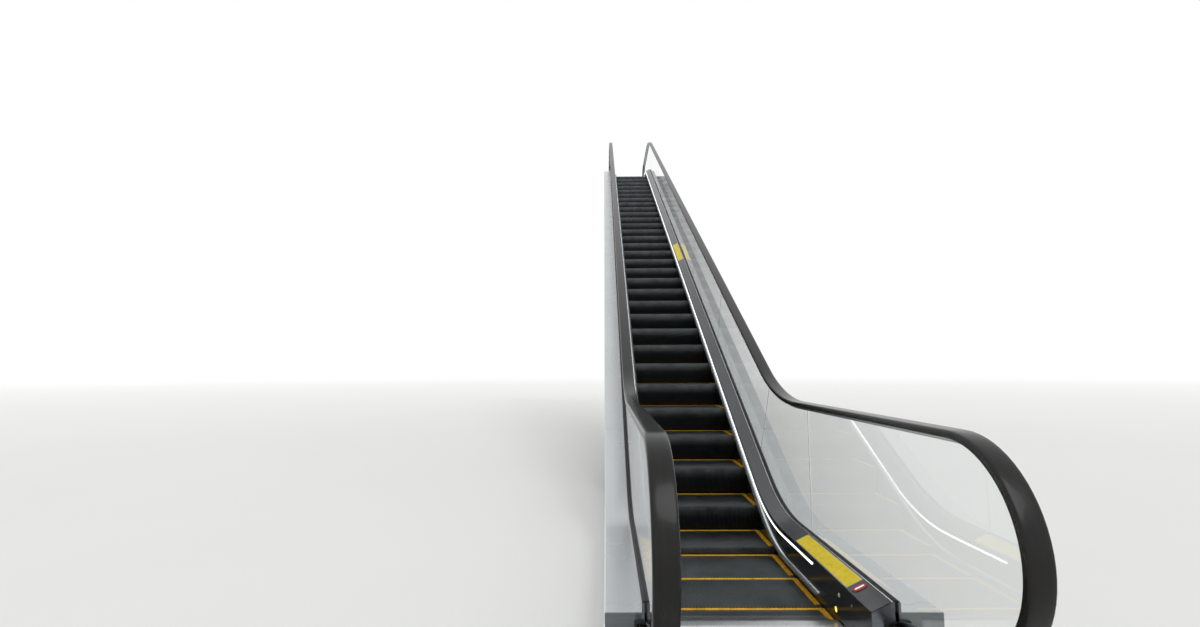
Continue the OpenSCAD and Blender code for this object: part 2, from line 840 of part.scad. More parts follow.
// Joints of the glass: the first and last stand upright, and the others lie square to the slope
first_joint = 300;
joint_reach = rail_h + 500;
panels = max(1, round((slope_len(glass_foot) - 2 * first_joint) / panel_l));
panel_step = (slope_len(glass_foot) - 2 * first_joint) / panels;

module joint_cut(d) {
    p = slope_start(glass_foot) + d * [cos(incline), sin(incline)];
    translate(p) rotate(incline) translate([-panel_gap / 2, -clamp_depth])
        square([panel_gap, joint_reach]);
}

module glass() {
    across(rail_x - glass_t / 2, rail_x + glass_t / 2) difference() {
        glass_outline();
        translate([joint_y0, frame_h]) square([panel_gap, joint_reach]);
        translate([up_comb_y - joint_y0, up_floor]) square([panel_gap, joint_reach]);
        for (k = [0 : panels]) joint_cut(first_joint + k * panel_step);
    }
}

module glass_left() {
    color("lightcyan", 0.35) on_left() glass();
}

module glass_right() {
    color("lightcyan", 0.35) glass();
}

// Handrails

guide_play = 0.3;
guide_w = 59;
guide_t = 8;
guide_stem = 18;
guide_depth = 32;
rail_wall = 10;

// Section of the guide on the edge of the glass, over the handrail seat
module guide_section() {
    top = -guide_play;
    slot = glass_t / 2 + 0.2;
    translate([0, rail_x]) difference() {
        union() {
            translate([top - guide_t, -guide_w / 2]) square([guide_t, guide_w]);
            translate([-guide_depth, -guide_stem / 2]) square([guide_depth + top - 1, guide_stem]);
        }
        translate([-guide_depth - 1, -slot]) square([guide_depth - guide_grip + 1, 2 * slot]);
    }
}

function across_x(v) = [for (p = v) [p[0], -p[1]]];

// Section of the handrail, a flat C that wraps round the guide
module handrail_section() {
    half = rail_w / 2;
    round_r = rail_t - 2;
    side = concat(arc_points([2 - rail_lip, half - 2], 2, 180, 90, 2),
        arc_points([rail_t - round_r, half - round_r], round_r, 90, 0, 5));
    hollow = half - rail_wall;
    cavity = [[0, hollow], [-guide_t - 1, hollow], [-guide_t - 1, hollow - 6], [-rail_lip, hollow - 6]];
    translate([0, rail_x])
        polygon(concat(side, reversed(across_x(side)), across_x(reversed(cavity)), cavity));
}

module handrail_guide_left() {
    color("silver") on_left() rail_sweep() guide_section();
}

module handrail_guide_right() {
    color("silver") rail_sweep() guide_section();
}

module handrail_left() {
    color("black") on_left() rail_sweep() handrail_section();
}

module handrail_right() {
    color("black") rail_sweep() handrail_section();
}

// End caps of the decks, and the collars through which the handrails run in

inlet_side = 4;

// The opening for the handrail and the glass, drawn as X and height above the floor
module inlet_opening(extra) {
    half = rail_w / 2 + inlet_side + extra;
    low = inlet_h - (rail_t + inlet_side) / cos(run_dip) - 4 - extra;
    high = inlet_h + (rail_lip + inlet_side) / cos(run_dip) + 4 + extra;
    translate([rail_x - half, low]) square([2 * half, high - low]);
}

module cap_outline(out) {
    top = skirt_h + deck_rise;
    side = skirt_h + outer_deck_h;
    polygon([[skirt_x, floor_up], [skirt_x, skirt_h], [clamp_x0, top], [clamp_x1, top], [clamp_x1, side],
        [out - sheet_t, side], [out - sheet_t, floor_up]]);
}

module end_cap(out) {
    translate([0, deck_y0, 0]) rotate([90, 0, 0]) linear_extrude(sheet_t) difference() {
        cap_outline(out);
        inlet_opening(0);
        translate([rail_x - guide_stem / 2 - 2, inlet_h]) square([guide_stem + 4, skirt_h]);
    }
}

module end_caps() {
    color("silver") {
        at_lower_comb() end_cap(right_out);
        at_lower_comb() on_left() end_cap(left_out);
        at_upper_comb() end_cap(right_out);
        at_upper_comb() on_left() end_cap(left_out);
    }
}

module inlet_collar() {
    translate([0, deck_y0 - sheet_t, 0]) rotate([90, 0, 0]) linear_extrude(14) difference() {
        inlet_opening(9);
        inlet_opening(0);
        translate([rail_x - guide_stem / 2 - 2, inlet_h]) square([guide_stem + 4, skirt_h]);
    }
}

module inlet_collars() {
    color("black") for (side = [0, 1]) mirror([side, 0, 0]) {
        at_lower_comb() inlet_collar();
        at_upper_comb() inlet_collar();
    }
}

// Lamps

deck_tilt = atan2(deck_rise, clamp_x0 - skirt_x);
lamp_y = -170;
lamp_x = (clamp_x0 - skirt_x) / 2 / cos(deck_tilt);
lamp_w = 72;
lamp_l = 46;
lamp_t = 4;

// Oval travel lamp on the right inner deck
module travel_lamp() {
    half = (lamp_w - lamp_l) / 2;
    translate([skirt_x, lamp_y, skirt_h + sheet_t]) rotate([0, -deck_tilt, 0]) {
        for (x = [lamp_x - half, lamp_x + half])
            translate([x, 0, 0]) cylinder(r = lamp_l / 2, h = lamp_t);
        translate([lamp_x - half, -lamp_l / 2, 0]) cube([2 * half, lamp_l, lamp_t]);
    }
}

module travel_lamps() {
    color("red") {
        at_lower_comb() travel_lamp();
        at_upper_comb() travel_lamp();
    }
}

comb_lamp_y = 0;
comb_lamp_z = 54;
comb_lamp_r = 14;
sensor_y = -40;
sensor_z = 133;
sensor_r = 10;

module comb_lamp() {
    disc_x(skirt_x - 2, comb_lamp_y, comb_lamp_z, comb_lamp_r, 2);
    disc_x(skirt_x - 2, sensor_y, sensor_z, sensor_r, 2);
}

module comb_lamps() {
    color("yellow") for (side = [0, 1]) mirror([side, 0, 0]) {
        at_lower_comb() comb_lamp();
        at_upper_comb() comb_lamp();
    }
}

lower_frame();
upper_frame();
truss_left();
truss_right();
truss_ties();
side_cladding_left();
side_cladding_right();
soffit_cladding();
upper_end_plate();
upper_support();
tracks_left();
tracks_right();
track_brackets();
steps_lower();
steps_middle();
steps_upper();
step_edges();
step_axles();
step_rollers();
comb_plates();
combs();
floor_plates();
skirt_left();
skirt_right();
skirt_brush_left();
skirt_brush_right();
skirt_lights();
inner_deck_left();
inner_deck_right();
glass_clamp_left();
glass_clamp_right();
glass_seals();
outer_deck_left();
outer_deck_right();
glass_left();
glass_right();
handrail_guide_left();
handrail_guide_right();
handrail_left();
handrail_right();
clamp_posts();
end_caps();
inlet_collars();
travel_lamps();
comb_lamps();
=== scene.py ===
import math

import bmesh
import bpy
from mathutils import Matrix, Vector


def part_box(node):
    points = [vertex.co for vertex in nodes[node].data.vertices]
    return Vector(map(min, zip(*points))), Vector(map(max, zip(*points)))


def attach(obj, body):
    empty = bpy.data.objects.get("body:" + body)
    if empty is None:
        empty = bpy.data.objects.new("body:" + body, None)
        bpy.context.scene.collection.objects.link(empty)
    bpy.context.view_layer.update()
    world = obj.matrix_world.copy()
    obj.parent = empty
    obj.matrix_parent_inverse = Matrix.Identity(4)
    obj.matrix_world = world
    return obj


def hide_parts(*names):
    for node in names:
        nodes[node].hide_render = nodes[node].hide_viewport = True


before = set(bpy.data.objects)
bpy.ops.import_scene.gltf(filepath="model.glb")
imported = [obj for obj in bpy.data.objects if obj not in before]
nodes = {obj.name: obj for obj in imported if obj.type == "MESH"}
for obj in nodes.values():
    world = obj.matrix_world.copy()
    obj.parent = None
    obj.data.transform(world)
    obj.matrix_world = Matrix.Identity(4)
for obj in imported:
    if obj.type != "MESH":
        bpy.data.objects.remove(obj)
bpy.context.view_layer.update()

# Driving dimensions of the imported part, in metres and radians
INCLINE = math.radians(30)
RISE = 6.2
KNEE_Y = 0.96
STEP_BEND_LOW = 1.1
STEP_BEND_UP = 1.5
UPPER_RUN = 0.86
PLATE_RUN = 1.5
FRAME_H = 0.12
FLOOR_UP = 0.015
TRUSS_H = 1.0
STEP_W = 0.8
STEP_PITCH = 0.405
TREAD_GAP = 0.005
FIRST_NOSE = 0.16
STRIP_W = 0.027
CLEAT_H = 0.011
TREAD_T = 0.014
SKIRT_X = 0.404
SHEET_T = 0.003
SKIRT_H = 0.19
BALUSTRADE_DROP = 0.095
DECK_RUN = 0.37
DECK_RISE = 0.04
DECK_EDGE = 0.045
CLAMP_HALF = 0.021
BRUSH_H = 0.04
BRUSH_SLOPE_H = 0.028
BRUSH_REACH = 0.03
BRUSH_END = 0.2
HOLDER_W = 0.0115
HOLDER_H = 0.014
HOLDER_PART = 1.9
# Height on the holder and droop, in radians, of each row of tufts
TUFT_ROWS = (0.0062, 0.06), (0.0032, 0.14)
TUFT_PITCH = 0.0032
TUFT_R = 0.0013
LIGHT_END = 0.3
LIGHT_H = 0.014
LIGHT_DROP = 0.019
LIGHT_T = 0.005
LIGHT_PART = 2.0
RAIL_H = 0.966
RAIL_T = 0.012
RAIL_LIP = 0.016
NEWEL_R = 0.34
NEWEL_RUN = 0.845
INLET_H = 0.126
RUN_INSIDE = 0.09
FIRST_STEP = -1
LOWER_STEPS = 10
MIDDLE_STEPS = 22
LAST_STEP = 35
LONGEST_FACE = 0.5

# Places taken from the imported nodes
rail_low, rail_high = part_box("handrail_right")
RAIL_X = (rail_low.x + rail_high.x) / 2
RAIL_W = rail_high.x - rail_low.x
LEFT_OUT = -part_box("outer_deck_left")[0].x
RIGHT_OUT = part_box("outer_deck_right")[1].x
FLIGHT_Y1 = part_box("floor_plates")[1].y
CLAMP_X0 = RAIL_X - CLAMP_HALF
CLAMP_X1 = RAIL_X + CLAMP_HALF
UP_FLOOR = FRAME_H + RISE
SLOPE_RUN = RISE / math.tan(INCLINE)
DECK_TILT = math.atan2(DECK_RISE, CLAMP_X0 - SKIRT_X)


class Path:
    """A run up the flight, from its level height, its height over the noses and its two bends."""

    def __init__(self, level, slope, low_r, up_r):
        knee = KNEE_Y + (level - slope) / math.tan(INCLINE)
        self.low_r, self.up_r = low_r, up_r
        self.low_z, self.up_z = FRAME_H + level, UP_FLOOR + level
        self.bend_start = knee - low_r * math.tan(INCLINE / 2)
        self.bend_end = knee + SLOPE_RUN + up_r * math.tan(INCLINE / 2)
        self.slope_start = self.bend_start + low_r * math.sin(INCLINE)
        self.slope_end = self.bend_end - up_r * math.sin(INCLINE)

    def at(self, y):
        """The station at y: its y, its z and the angle of the run there."""
        if y <= self.bend_start:
            return (y, self.low_z, 0.0)
        if y < self.slope_start:
            a = math.asin((y - self.bend_start) / self.low_r)
            return (y, self.low_z + self.low_r * (1 - math.cos(a)), a)
        if y <= self.slope_end:
            z = self.low_z + self.low_r * (1 - math.cos(INCLINE))
            return (y, z + (y - self.slope_start) * math.tan(INCLINE), INCLINE)
        if y < self.bend_end:
            a = math.asin((self.bend_end - y) / self.up_r)
            return (y, self.up_z - self.up_r * (1 - math.cos(a)), a)
        return (y, self.up_z, 0.0)

    def stations(self, y0, y1, parts=12):
        """Stations from y0 to y1, close together in the bends."""
        angles = [INCLINE * k / parts for k in range(parts + 1)]
        low = [self.bend_start + self.low_r * math.sin(a) for a in angles]
        up = [self.bend_end - self.up_r * math.sin(a) for a in angles]
        inside = [y for y in low + up if y0 < y < y1]
        marks = sorted([y0, y1] + inside)
        places = []
        for a, b in zip(marks, marks[1:]):
            count = math.ceil((b - a) / LONGEST_FACE)
            places += [a + (b - a) * k / count for k in range(count)]
        return [self.at(y) for y in places + [y1]]


NOSES = Path(0, 0, STEP_BEND_LOW, STEP_BEND_UP)
DECKS = Path(SKIRT_H, SKIRT_H - BALUSTRADE_DROP, 1.2, 1.7)
RAILS = Path(RAIL_H, RAIL_H - BALUSTRADE_DROP, 1.5, 2.0)
BRUSHES = Path(BRUSH_H, BRUSH_SLOPE_H, STEP_BEND_LOW, STEP_BEND_UP)
UP_COMB_Y = NOSES.bend_end + UPPER_RUN
DECK_Y0 = -DECK_RUN
DECK_Y1 = UP_COMB_Y + DECK_RUN
CLAMP_Y0 = DECK_Y0 + RUN_INSIDE + 0.01
CLAMP_Y1 = DECK_Y1 - RUN_INSIDE - 0.01
SOFFIT_Y = KNEE_Y + (TRUSS_H - FRAME_H) / math.tan(INCLINE)
SOFFIT_TOP_Y = SOFFIT_Y + (UP_FLOOR - TRUSS_H) / math.tan(INCLINE)


def arc(centre, r, a0, a1, parts):
    """Points of an arc, with its angles in degrees."""
    angles = [math.radians(a0 + (a1 - a0) * k / parts) for k in range(parts + 1)]
    return [(centre[0] + r * math.cos(a), centre[1] + r * math.sin(a)) for a in angles]


def rail_stations(newel_parts=30):
    """Stations of a handrail, out of the lower decks, round both newels and into the upper decks."""
    newel_h = RAIL_H - NEWEL_R
    dy, dz = NEWEL_RUN - DECK_RUN, newel_h - INLET_H
    reach = math.hypot(dy, dz)
    foot = -math.atan2(dz, dy) - math.acos(NEWEL_R / reach)
    run = math.sqrt(reach**2 - NEWEL_R**2) + RUN_INSIDE

    def newel(centre_y, centre_z, side):
        """Stations round one newel and down into the deck."""
        turned = []
        for k in range(newel_parts + 1):
            a = math.pi / 2 + (1.5 * math.pi + foot) * k / newel_parts
            y, z = NEWEL_R * math.cos(a), NEWEL_R * math.sin(a)
            turned.append((centre_y + side * y, centre_z + z, side * (a - math.pi / 2)))
        y, z, a = turned[-1]
        turned.append((y - side * run * math.cos(side * a), z - side * run * math.sin(a), a))
        return turned

    low = newel(-NEWEL_RUN, FRAME_H + newel_h, 1)
    high = newel(UP_COMB_Y + NEWEL_RUN, UP_FLOOR + newel_h, -1)
    return low[::-1] + RAILS.stations(0, UP_COMB_Y, 16) + high


class Shell:
    """Collects the solids of one piece."""

    def __init__(self):
        self.bm = bmesh.new()
        self.uv = self.bm.loops.layers.uv.new("run")

    def sweep(self, stations, section, side=1):
        """Carries a section, points of x and height, along stations, and closes both ends."""
        girth = [0.0]
        for a, b in zip(section, section[1:] + section[:1]):
            girth.append(girth[-1] + math.dist(a, b))
        run = [0.0]
        for a, b in zip(stations, stations[1:]):
            run.append(run[-1] + math.dist(a[:2], b[:2]))
        rings = []
        for y, z, a in stations:
            place = [(side * x, y - h * math.sin(a), z + h * math.cos(a)) for x, h in section]
            rings.append([self.bm.verts.new(p) for p in place])
        count = len(section)
        for k in range(len(stations) - 1):
            for i in range(count):
                j = (i + 1) % count
                face = self.bm.faces.new((rings[k][i], rings[k][j], rings[k + 1][j], rings[k + 1][i]))
                corners = [(k, i), (k, i + 1), (k + 1, i + 1), (k + 1, i)]
                for loop, (u, v) in zip(face.loops, corners):
                    loop[self.uv].uv = (run[u], girth[v])
        self.bm.faces.new(rings[0])
        self.bm.faces.new(rings[-1])

    def stack(self, rings):
        """A solid through rings of points, closed at both ends, with y and x as its own UV map."""
        rings = [[self.bm.verts.new(p) for p in ring] for ring in rings]
        faces = [self.bm.faces.new(rings[0]), self.bm.faces.new(rings[-1])]
        for a, b in zip(rings, rings[1:]):
            for i in range(len(a)):
                j = (i + 1) % len(a)
                faces.append(self.bm.faces.new((a[i], a[j], b[j], b[i])))
        for face in faces:
            for loop in face.loops:
                loop[self.uv].uv = (loop.vert.co.y, loop.vert.co.x)

    def prism(self, outline, x0, x1):
        """A solid with a side outline, points of y and z, from x0 to x1."""
        self.stack([[(x, y, z) for y, z in outline] for x in (x0, x1)])

    def bar(self, y0, y1, z0, z1, x0, x1):
        """A plain bar inside a larger piece."""
        self.prism([(y0, z0), (y1, z0), (y1, z1), (y0, z1)], x0, x1)

    def dome(self, place, rings, sides=20):
        """A turned solid on its own axis: rings of radius and height, set by a matrix."""
        turn = [2 * math.pi * k / sides for k in range(sides)]
        self.stack([[place @ Vector((r * math.cos(a), r * math.sin(a), h)) for a in turn] for r, h in rings])

    def mesh(self, name, smooth=35):
        """The collected solids as a mesh with its faces outwards."""
        bmesh.ops.recalc_face_normals(self.bm, faces=self.bm.faces)
        mesh = bpy.data.meshes.new(name)
        self.bm.to_mesh(mesh)
        self.bm.free()
        mesh.shade_smooth()
        mesh.set_sharp_from_angle(angle=math.radians(smooth))
        return mesh


def add_object(name, mesh):
    """Links an object for a mesh."""
    thing = bpy.data.objects.new(name, mesh)
    bpy.context.scene.collection.objects.link(thing)
    return thing


def fit(thing, replaced):
    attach(thing, "root")
    if replaced:
        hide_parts(*replaced)
    return thing


def make_piece(name, shell, material, replaced=(), smooth=35):
    """Turns a shell into a finished piece."""
    thing = add_object(name, shell.mesh(name, smooth))
    thing.data.materials.append(material)
    return fit(thing, replaced)


# Materials


class NodeSet:
    """The nodes and links of one tree."""

    def __init__(self, tree):
        self.nodes = tree.nodes
        self.links = tree.links

    def node(self, kind, **settings):
        """A new node of a kind, with its settings."""
        made = self.nodes.new(kind)
        for key, value in settings.items():
            setattr(made, key, value)
        return made


class Finish(NodeSet):
    """Builds one material from a Principled shader, noise, ramps and bump."""

    def __init__(self, name, **constants):
        self.material = bpy.data.materials.new(name)
        self.material.use_nodes = True
        super().__init__(self.material.node_tree)
        self.shader = self.nodes["Principled BSDF"]
        for socket, value in constants.items():
            self.shader.inputs[socket.replace("_", " ")].default_value = value

    def place(self, kind="Object", scale=(1, 1, 1)):
        """Coordinates of one kind, stretched by a scale."""
        source = self.node("ShaderNodeTexCoord")
        mapping = self.node("ShaderNodeMapping")
        mapping.inputs["Scale"].default_value = scale
        self.links.new(source.outputs[kind], mapping.inputs["Vector"])
        return mapping.outputs["Vector"]

    def noise(self, vector, scale, detail=3.0, roughness=0.55):
        """Noise over coordinates, as a factor."""
        made = self.node("ShaderNodeTexNoise")
        made.inputs["Scale"].default_value = scale
        made.inputs["Detail"].default_value = detail
        made.inputs["Roughness"].default_value = roughness
        self.links.new(vector, made.inputs["Vector"])
        return made.outputs["Fac"]

    def ramp(self, factor, *stops):
        """A colour ramp over a factor, with stops of position and colour."""
        made = self.node("ShaderNodeValToRGB")
        elements = made.color_ramp.elements
        while len(elements) < len(stops):
            elements.new(0.5)
        for element, (position, colour) in zip(elements, stops):
            element.position = position
            element.color = (*colour, 1)
        self.links.new(factor, made.inputs["Fac"])
        return made.outputs["Color"]

    def span(self, factor, low, high, start=0.3, end=0.7):
        """Maps a factor to a range of values."""
        made = self.node("ShaderNodeMapRange")
        for label, value in (("From Min", start), ("From Max", end), ("To Min", low), ("To Max", high)):
            made.inputs[label].default_value = value
        self.links.new(factor, made.inputs["Value"])
        return made.outputs["Result"]

    def blend(self, factor, a, b, kind="MIX"):
        """A mix or a product of two colours by a factor, each a value or an output."""
        made = self.node("ShaderNodeMix", data_type="RGBA", blend_type=kind)
        colours = [s for s in made.inputs if s.type == "RGBA"]
        for value, socket in ((factor, made.inputs["Factor"]), (a, colours[0]), (b, colours[1])):
            if isinstance(value, bpy.types.NodeSocket):
                self.links.new(value, socket)
            else:
                socket.default_value = (*value, 1) if isinstance(value, tuple) else value
        return [s for s in made.outputs if s.type == "RGBA"][0]

    def set(self, socket, output):
        """Feeds one input of the shader."""
        self.links.new(output, self.shader.inputs[socket])

    def bump(self, height, strength, distance):
        """Shallow relief from a height."""
        made = self.node("ShaderNodeBump")
        made.inputs["Strength"].default_value = strength
        made.inputs["Distance"].default_value = distance
        self.links.new(height, made.inputs["Height"])
        self.set("Normal", made.outputs["Normal"])


def tint(colour, factor):
    """A colour made lighter or darker by a factor."""
    return tuple(min(1.0, c * factor) for c in colour)


def brushed_metal(name, colour, rough, contrast=0.1, kind="UV", grain=(1.2, 300, 1),
                  metallic=1.0, stain=0.95):
    """Sheet with fine grain lines along its run, faint cloudy stains and a hint of waviness."""
    look = Finish(name, Metallic=metallic)
    lines = look.noise(look.place(kind, grain), 1.0, 2.0)
    clouds = look.noise(look.place(), 1.6, 1.0)
    base = look.ramp(lines, (0.3, tint(colour, 1 - contrast)), (0.7, tint(colour, 1 + contrast)))
    stained = look.ramp(clouds, (0.35, (stain, stain, stain)), (0.65, (1, 1, 1)))
    look.set("Base Color", look.blend(1.0, base, stained, "MULTIPLY"))
    look.set("Roughness", look.span(clouds, rough + 0.01, rough - 0.01))
    look.bump(look.noise(look.place(), 1.3, 1.0), 0.04, 0.004)
    return look.material


def painted_steel(name, colour, rough=0.5):
    """Sprayed paint with a fine orange peel and dust."""
    look = Finish(name)
    peel = look.noise(look.place(), 120, 2.0)
    dust = look.noise(look.place(), 3.1, 6.0)
    look.set("Base Color", look.ramp(dust, (0.3, tint(colour, 0.82)), (0.7, tint(colour, 1.12))))
    look.set("Roughness", look.span(dust, rough - 0.06, rough + 0.1))
    look.bump(peel, 0.12, 0.0005)
    return look.material


def step_alloy():
    """Dark die-cast alloy, worn brighter where shoes touch the cleats and tread, and lighter on the upper
    part of the riser as a painted highlight over a darker lower riser.
    """
    look = Finish("step_alloy", Metallic=0.75)
    height = look.node("ShaderNodeAttribute", attribute_name="height").outputs["Fac"]
    # Painted highlight: this mask lightens the colour from low on the riser up to the tread; on the tread it
    # is wear, on the upper riser a painted highlight.
    wear_and_riser_highlight = look.span(height, 0.0, 1.0, -0.085, -0.018)
    wear = look.noise(look.place(), 9, 6.0, 0.65)
    grit = look.noise(look.place(), 120, 2.0)
    dark = look.ramp(wear, (0.3, (0.014, 0.015, 0.016)), (0.7, (0.026, 0.028, 0.030)))
    worn_and_highlit = look.ramp(wear, (0.35, (0.060, 0.068, 0.071)), (0.65, (0.125, 0.138, 0.143)))
    look.set("Base Color", look.blend(wear_and_riser_highlight, dark, worn_and_highlit))
    look.set("Roughness", look.span(wear, 0.30, 0.44))
    look.bump(grit, 0.08, 0.0004)
    return look.material


def worn_yellow(name, colour=(0.78, 0.43, 0.012), soiled=0.55):
    """Yellow moulding, soiled in patches."""
    look = Finish(name, Specular_IOR_Level=0.4)
    soil = look.noise(look.place(), 24, 7.0, 0.65)
    grit = look.noise(look.place(), 120, 2.0)
    base = look.ramp(soil, (0.32, tint(colour, soiled)), (0.5, colour), (0.75, tint(colour, 1.12)))
    look.set("Base Color", base)
    look.set("Roughness", look.span(soil, 0.62, 0.4))
    look.bump(grit, 0.1, 0.0003)
    return look.material


def polished_rubber():
    """Black handrail rubber, smooth and glossy with faint wipe marks."""
    look = Finish("handrail_rubber", IOR=1.3, Coat_Weight=0.1, Coat_Roughness=0.08)
    wipes = look.noise(look.place("UV", (0.8, 60, 1)), 1.0, 4.0)
    ripple = look.noise(look.place("UV", (9, 20, 1)), 1.0, 1.0)
    look.set("Base Color", look.ramp(wipes, (0.3, (0.008, 0.0075, 0.007)), (0.7, (0.011, 0.010, 0.0095))))
    look.set("Roughness", look.span(wipes, 0.25, 0.28))
    look.bump(ripple, 0.05, 0.0006)
    return look.material


def matt_rubber(name, colour=(0.018, 0.018, 0.019)):
    """Extruded rubber with a dull skin."""
    look = Finish(name, Specular_IOR_Level=0.35)
    skin = look.noise(look.place(), 60, 5.0)
    look.set("Base Color", look.ramp(skin, (0.3, tint(colour, 0.7)), (0.7, tint(colour, 1.5))))
    look.set("Roughness", look.span(skin, 0.5, 0.68))
    look.bump(skin, 0.1, 0.0004)
    return look.material


def clear_glass():
    """Clear toughened glass: green at the cut edges, clear through the panes."""
    look = Finish("panel_glass", Roughness=0.0, IOR=1.46, Transmission_Weight=1.0)
    geometry = look.node("ShaderNodeNewGeometry")
    parts = look.node("ShaderNodeSeparateXYZ")
    across = look.node("ShaderNodeMath", operation="ABSOLUTE")
    look.links.new(geometry.outputs["Normal"], parts.inputs["Vector"])
    look.links.new(parts.outputs["X"], across.inputs[0])
    streaks = look.noise(look.place(), 1.7, 5.0)
    pane = look.ramp(streaks, (0.3, (0.955, 0.985, 0.975)), (0.7, (0.985, 0.998, 0.992)))
    edge = look.span(across.outputs[0], 0.0, 1.0, 0.3, 0.7)
    look.set("Base Color", look.blend(edge, (0.16, 0.42, 0.33), pane))
    clear = look.node("ShaderNodeBsdfTransparent")
    clear.inputs["Color"].default_value = (0.93, 0.97, 0.95, 1)
    light = look.node("ShaderNodeLightPath")
    mix = look.node("ShaderNodeMixShader")
    out = look.nodes["Material Output"]
    look.links.new(light.outputs["Is Shadow Ray"], mix.inputs["Fac"])
    look.links.new(look.shader.outputs["BSDF"], mix.inputs[1])
    look.links.new(clear.outputs["BSDF"], mix.inputs[2])
    look.links.new(mix.outputs["Shader"], out.inputs["Surface"])
    return look.material


def lit_diffuser():
    """White diffuser lit from inside, with its lamps as faint brighter beads."""
    look = Finish("lit_diffuser", Roughness=0.4, Emission_Strength=3.0)
    beads = look.noise(look.place("Object", (1, 40, 1)), 1.0, 1.0)
    glow = look.ramp(beads, (0.3, (0.80, 0.95, 1.0)), (0.7, (0.95, 1.0, 1.0)))
    look.set("Base Color", glow)
    look.set("Emission Color", glow)
    return look.material


def lens(name, colour, glow):
    """Glossy coloured lamp lens, lit a little from inside."""
    look = Finish(name, Roughness=0.25, Emission_Strength=glow, Coat_Weight=0.1)
    depth = look.noise(look.place(), 90, 2.0)
    shade = look.ramp(depth, (0.3, tint(colour, 0.75)), (0.7, tint(colour, 1.2)))
    look.set("Base Color", shade)
    look.set("Emission Color", shade)
    return look.material


STEP_ALLOY = step_alloy()
STEP_YELLOW = worn_yellow("step_yellow")
STRIP_YELLOW = worn_yellow("deck_strip_yellow", (0.80, 0.60, 0.02), 0.88)
OUTER_STEEL = brushed_metal("outer_deck_steel", (0.60, 0.62, 0.63), 0.27, 0.02, grain=(0.5, 60, 1),
                            stain=0.98)
END_STEEL = brushed_metal("deck_end_steel", (0.20, 0.215, 0.22), 0.3, 0.06, "Object", (3, 500, 500))
INNER_STEEL = brushed_metal("inner_deck_steel", (0.100, 0.104, 0.107), 0.24, 0.2, "UV", (1.2, 420, 1))
BRIGHT_ALLOY = brushed_metal("bright_alloy", (0.70, 0.71, 0.72), 0.25)
GUIDE_STEEL = brushed_metal("guide_steel", (0.46, 0.47, 0.48), 0.22)
CLAMP_STEEL = brushed_metal("clamp_steel", (0.46, 0.47, 0.48), 0.22, 0.1, "Object", (300, 1.2, 300))
CLADDING_STEEL = brushed_metal("cladding_steel", (0.50, 0.51, 0.51), 0.33, 0.04, "Object", (300, 300, 1.2))
SOFFIT_STEEL = brushed_metal("soffit_steel", (0.42, 0.43, 0.44), 0.38, 0.04, "Object", (1.2, 300, 300))
SKIRT_STEEL = brushed_metal("skirt_steel", (0.060, 0.064, 0.068), 0.17, 0.06, "Object", (1, 1.5, 180),
                            metallic=0.85)
COMB_ALLOY = brushed_metal("comb_alloy", (0.66, 0.67, 0.68), 0.3, 0.1, "Object", (500, 3, 3))
PLATE_STEEL = brushed_metal("plate_steel", (0.42, 0.43, 0.44), 0.36, 0.12, "Object", (400, 2, 2))
TRACK_STEEL = brushed_metal("track_steel", (0.36, 0.36, 0.37), 0.35, 0.2, "Object", (300, 2, 2))
AXLE_STEEL = brushed_metal("axle_steel", (0.32, 0.32, 0.33), 0.3, 0.2, "Object", (400, 3, 3))
SCREW_STEEL = brushed_metal("screw_steel", (0.55, 0.55, 0.55), 0.3, 0.1, "Object", (60, 60, 60))
TRUSS_PAINT = painted_steel("truss_paint", (0.22, 0.235, 0.25))
FRAME_PAINT = painted_steel("frame_paint", (0.10, 0.10, 0.11))
SUPPORT_PAINT = painted_steel("support_paint", (0.13, 0.13, 0.14), 0.45)
RAIL_RUBBER = polished_rubber()
SEAL_RUBBER = matt_rubber("seal_rubber")
ROLLER_BLACK = matt_rubber("roller_black", (0.03, 0.03, 0.03))
# Painted light: the bristles get a mid-grey, lighter than their own dark colour, so they look lit by the
# skirt lights.
LIT_BRISTLE_GREY = matt_rubber("lit_bristle_grey", (0.15, 0.16, 0.17))
GLASS = clear_glass()
DIFFUSER = lit_diffuser()
RED_LENS = lens("red_lens", (0.30, 0.006, 0.008), 0.25)
WHITE_LENS = lens("white_lens", (0.86, 0.84, 0.80), 0.5)
YELLOW_LENS = lens("yellow_lens", (0.90, 0.52, 0.03), 2.0)
# Painted glow: the sensor lenses are no lamps, yet their finish gives off a faint light.
GLOWING_SENSOR_LENS = lens("glowing_sensor_lens", (0.42, 0.30, 0.02), 0.3)


def paint_nodes(material, *names):
    """Gives CAD nodes that stay their material."""
    for name in names:
        nodes[name].data.materials.clear()
        nodes[name].data.materials.append(material)


paint_nodes(FRAME_PAINT, "lower_frame", "upper_frame")
paint_nodes(TRUSS_PAINT, "truss_left", "truss_right", "truss_ties", "track_brackets", "clamp_posts")
paint_nodes(SUPPORT_PAINT, "upper_support")
paint_nodes(CLADDING_STEEL, "upper_end_plate")
paint_nodes(TRACK_STEEL, "tracks_left", "tracks_right")
paint_nodes(AXLE_STEEL, "step_axles")
paint_nodes(ROLLER_BLACK, "step_rollers")
paint_nodes(SKIRT_STEEL, "skirt_left", "skirt_right")
paint_nodes(CLAMP_STEEL, "glass_clamp_left", "glass_clamp_right")
paint_nodes(GLASS, "glass_left", "glass_right")
paint_nodes(SEAL_RUBBER, "inlet_collars")
paint_nodes(END_STEEL, "end_caps")


# Geometry node trees


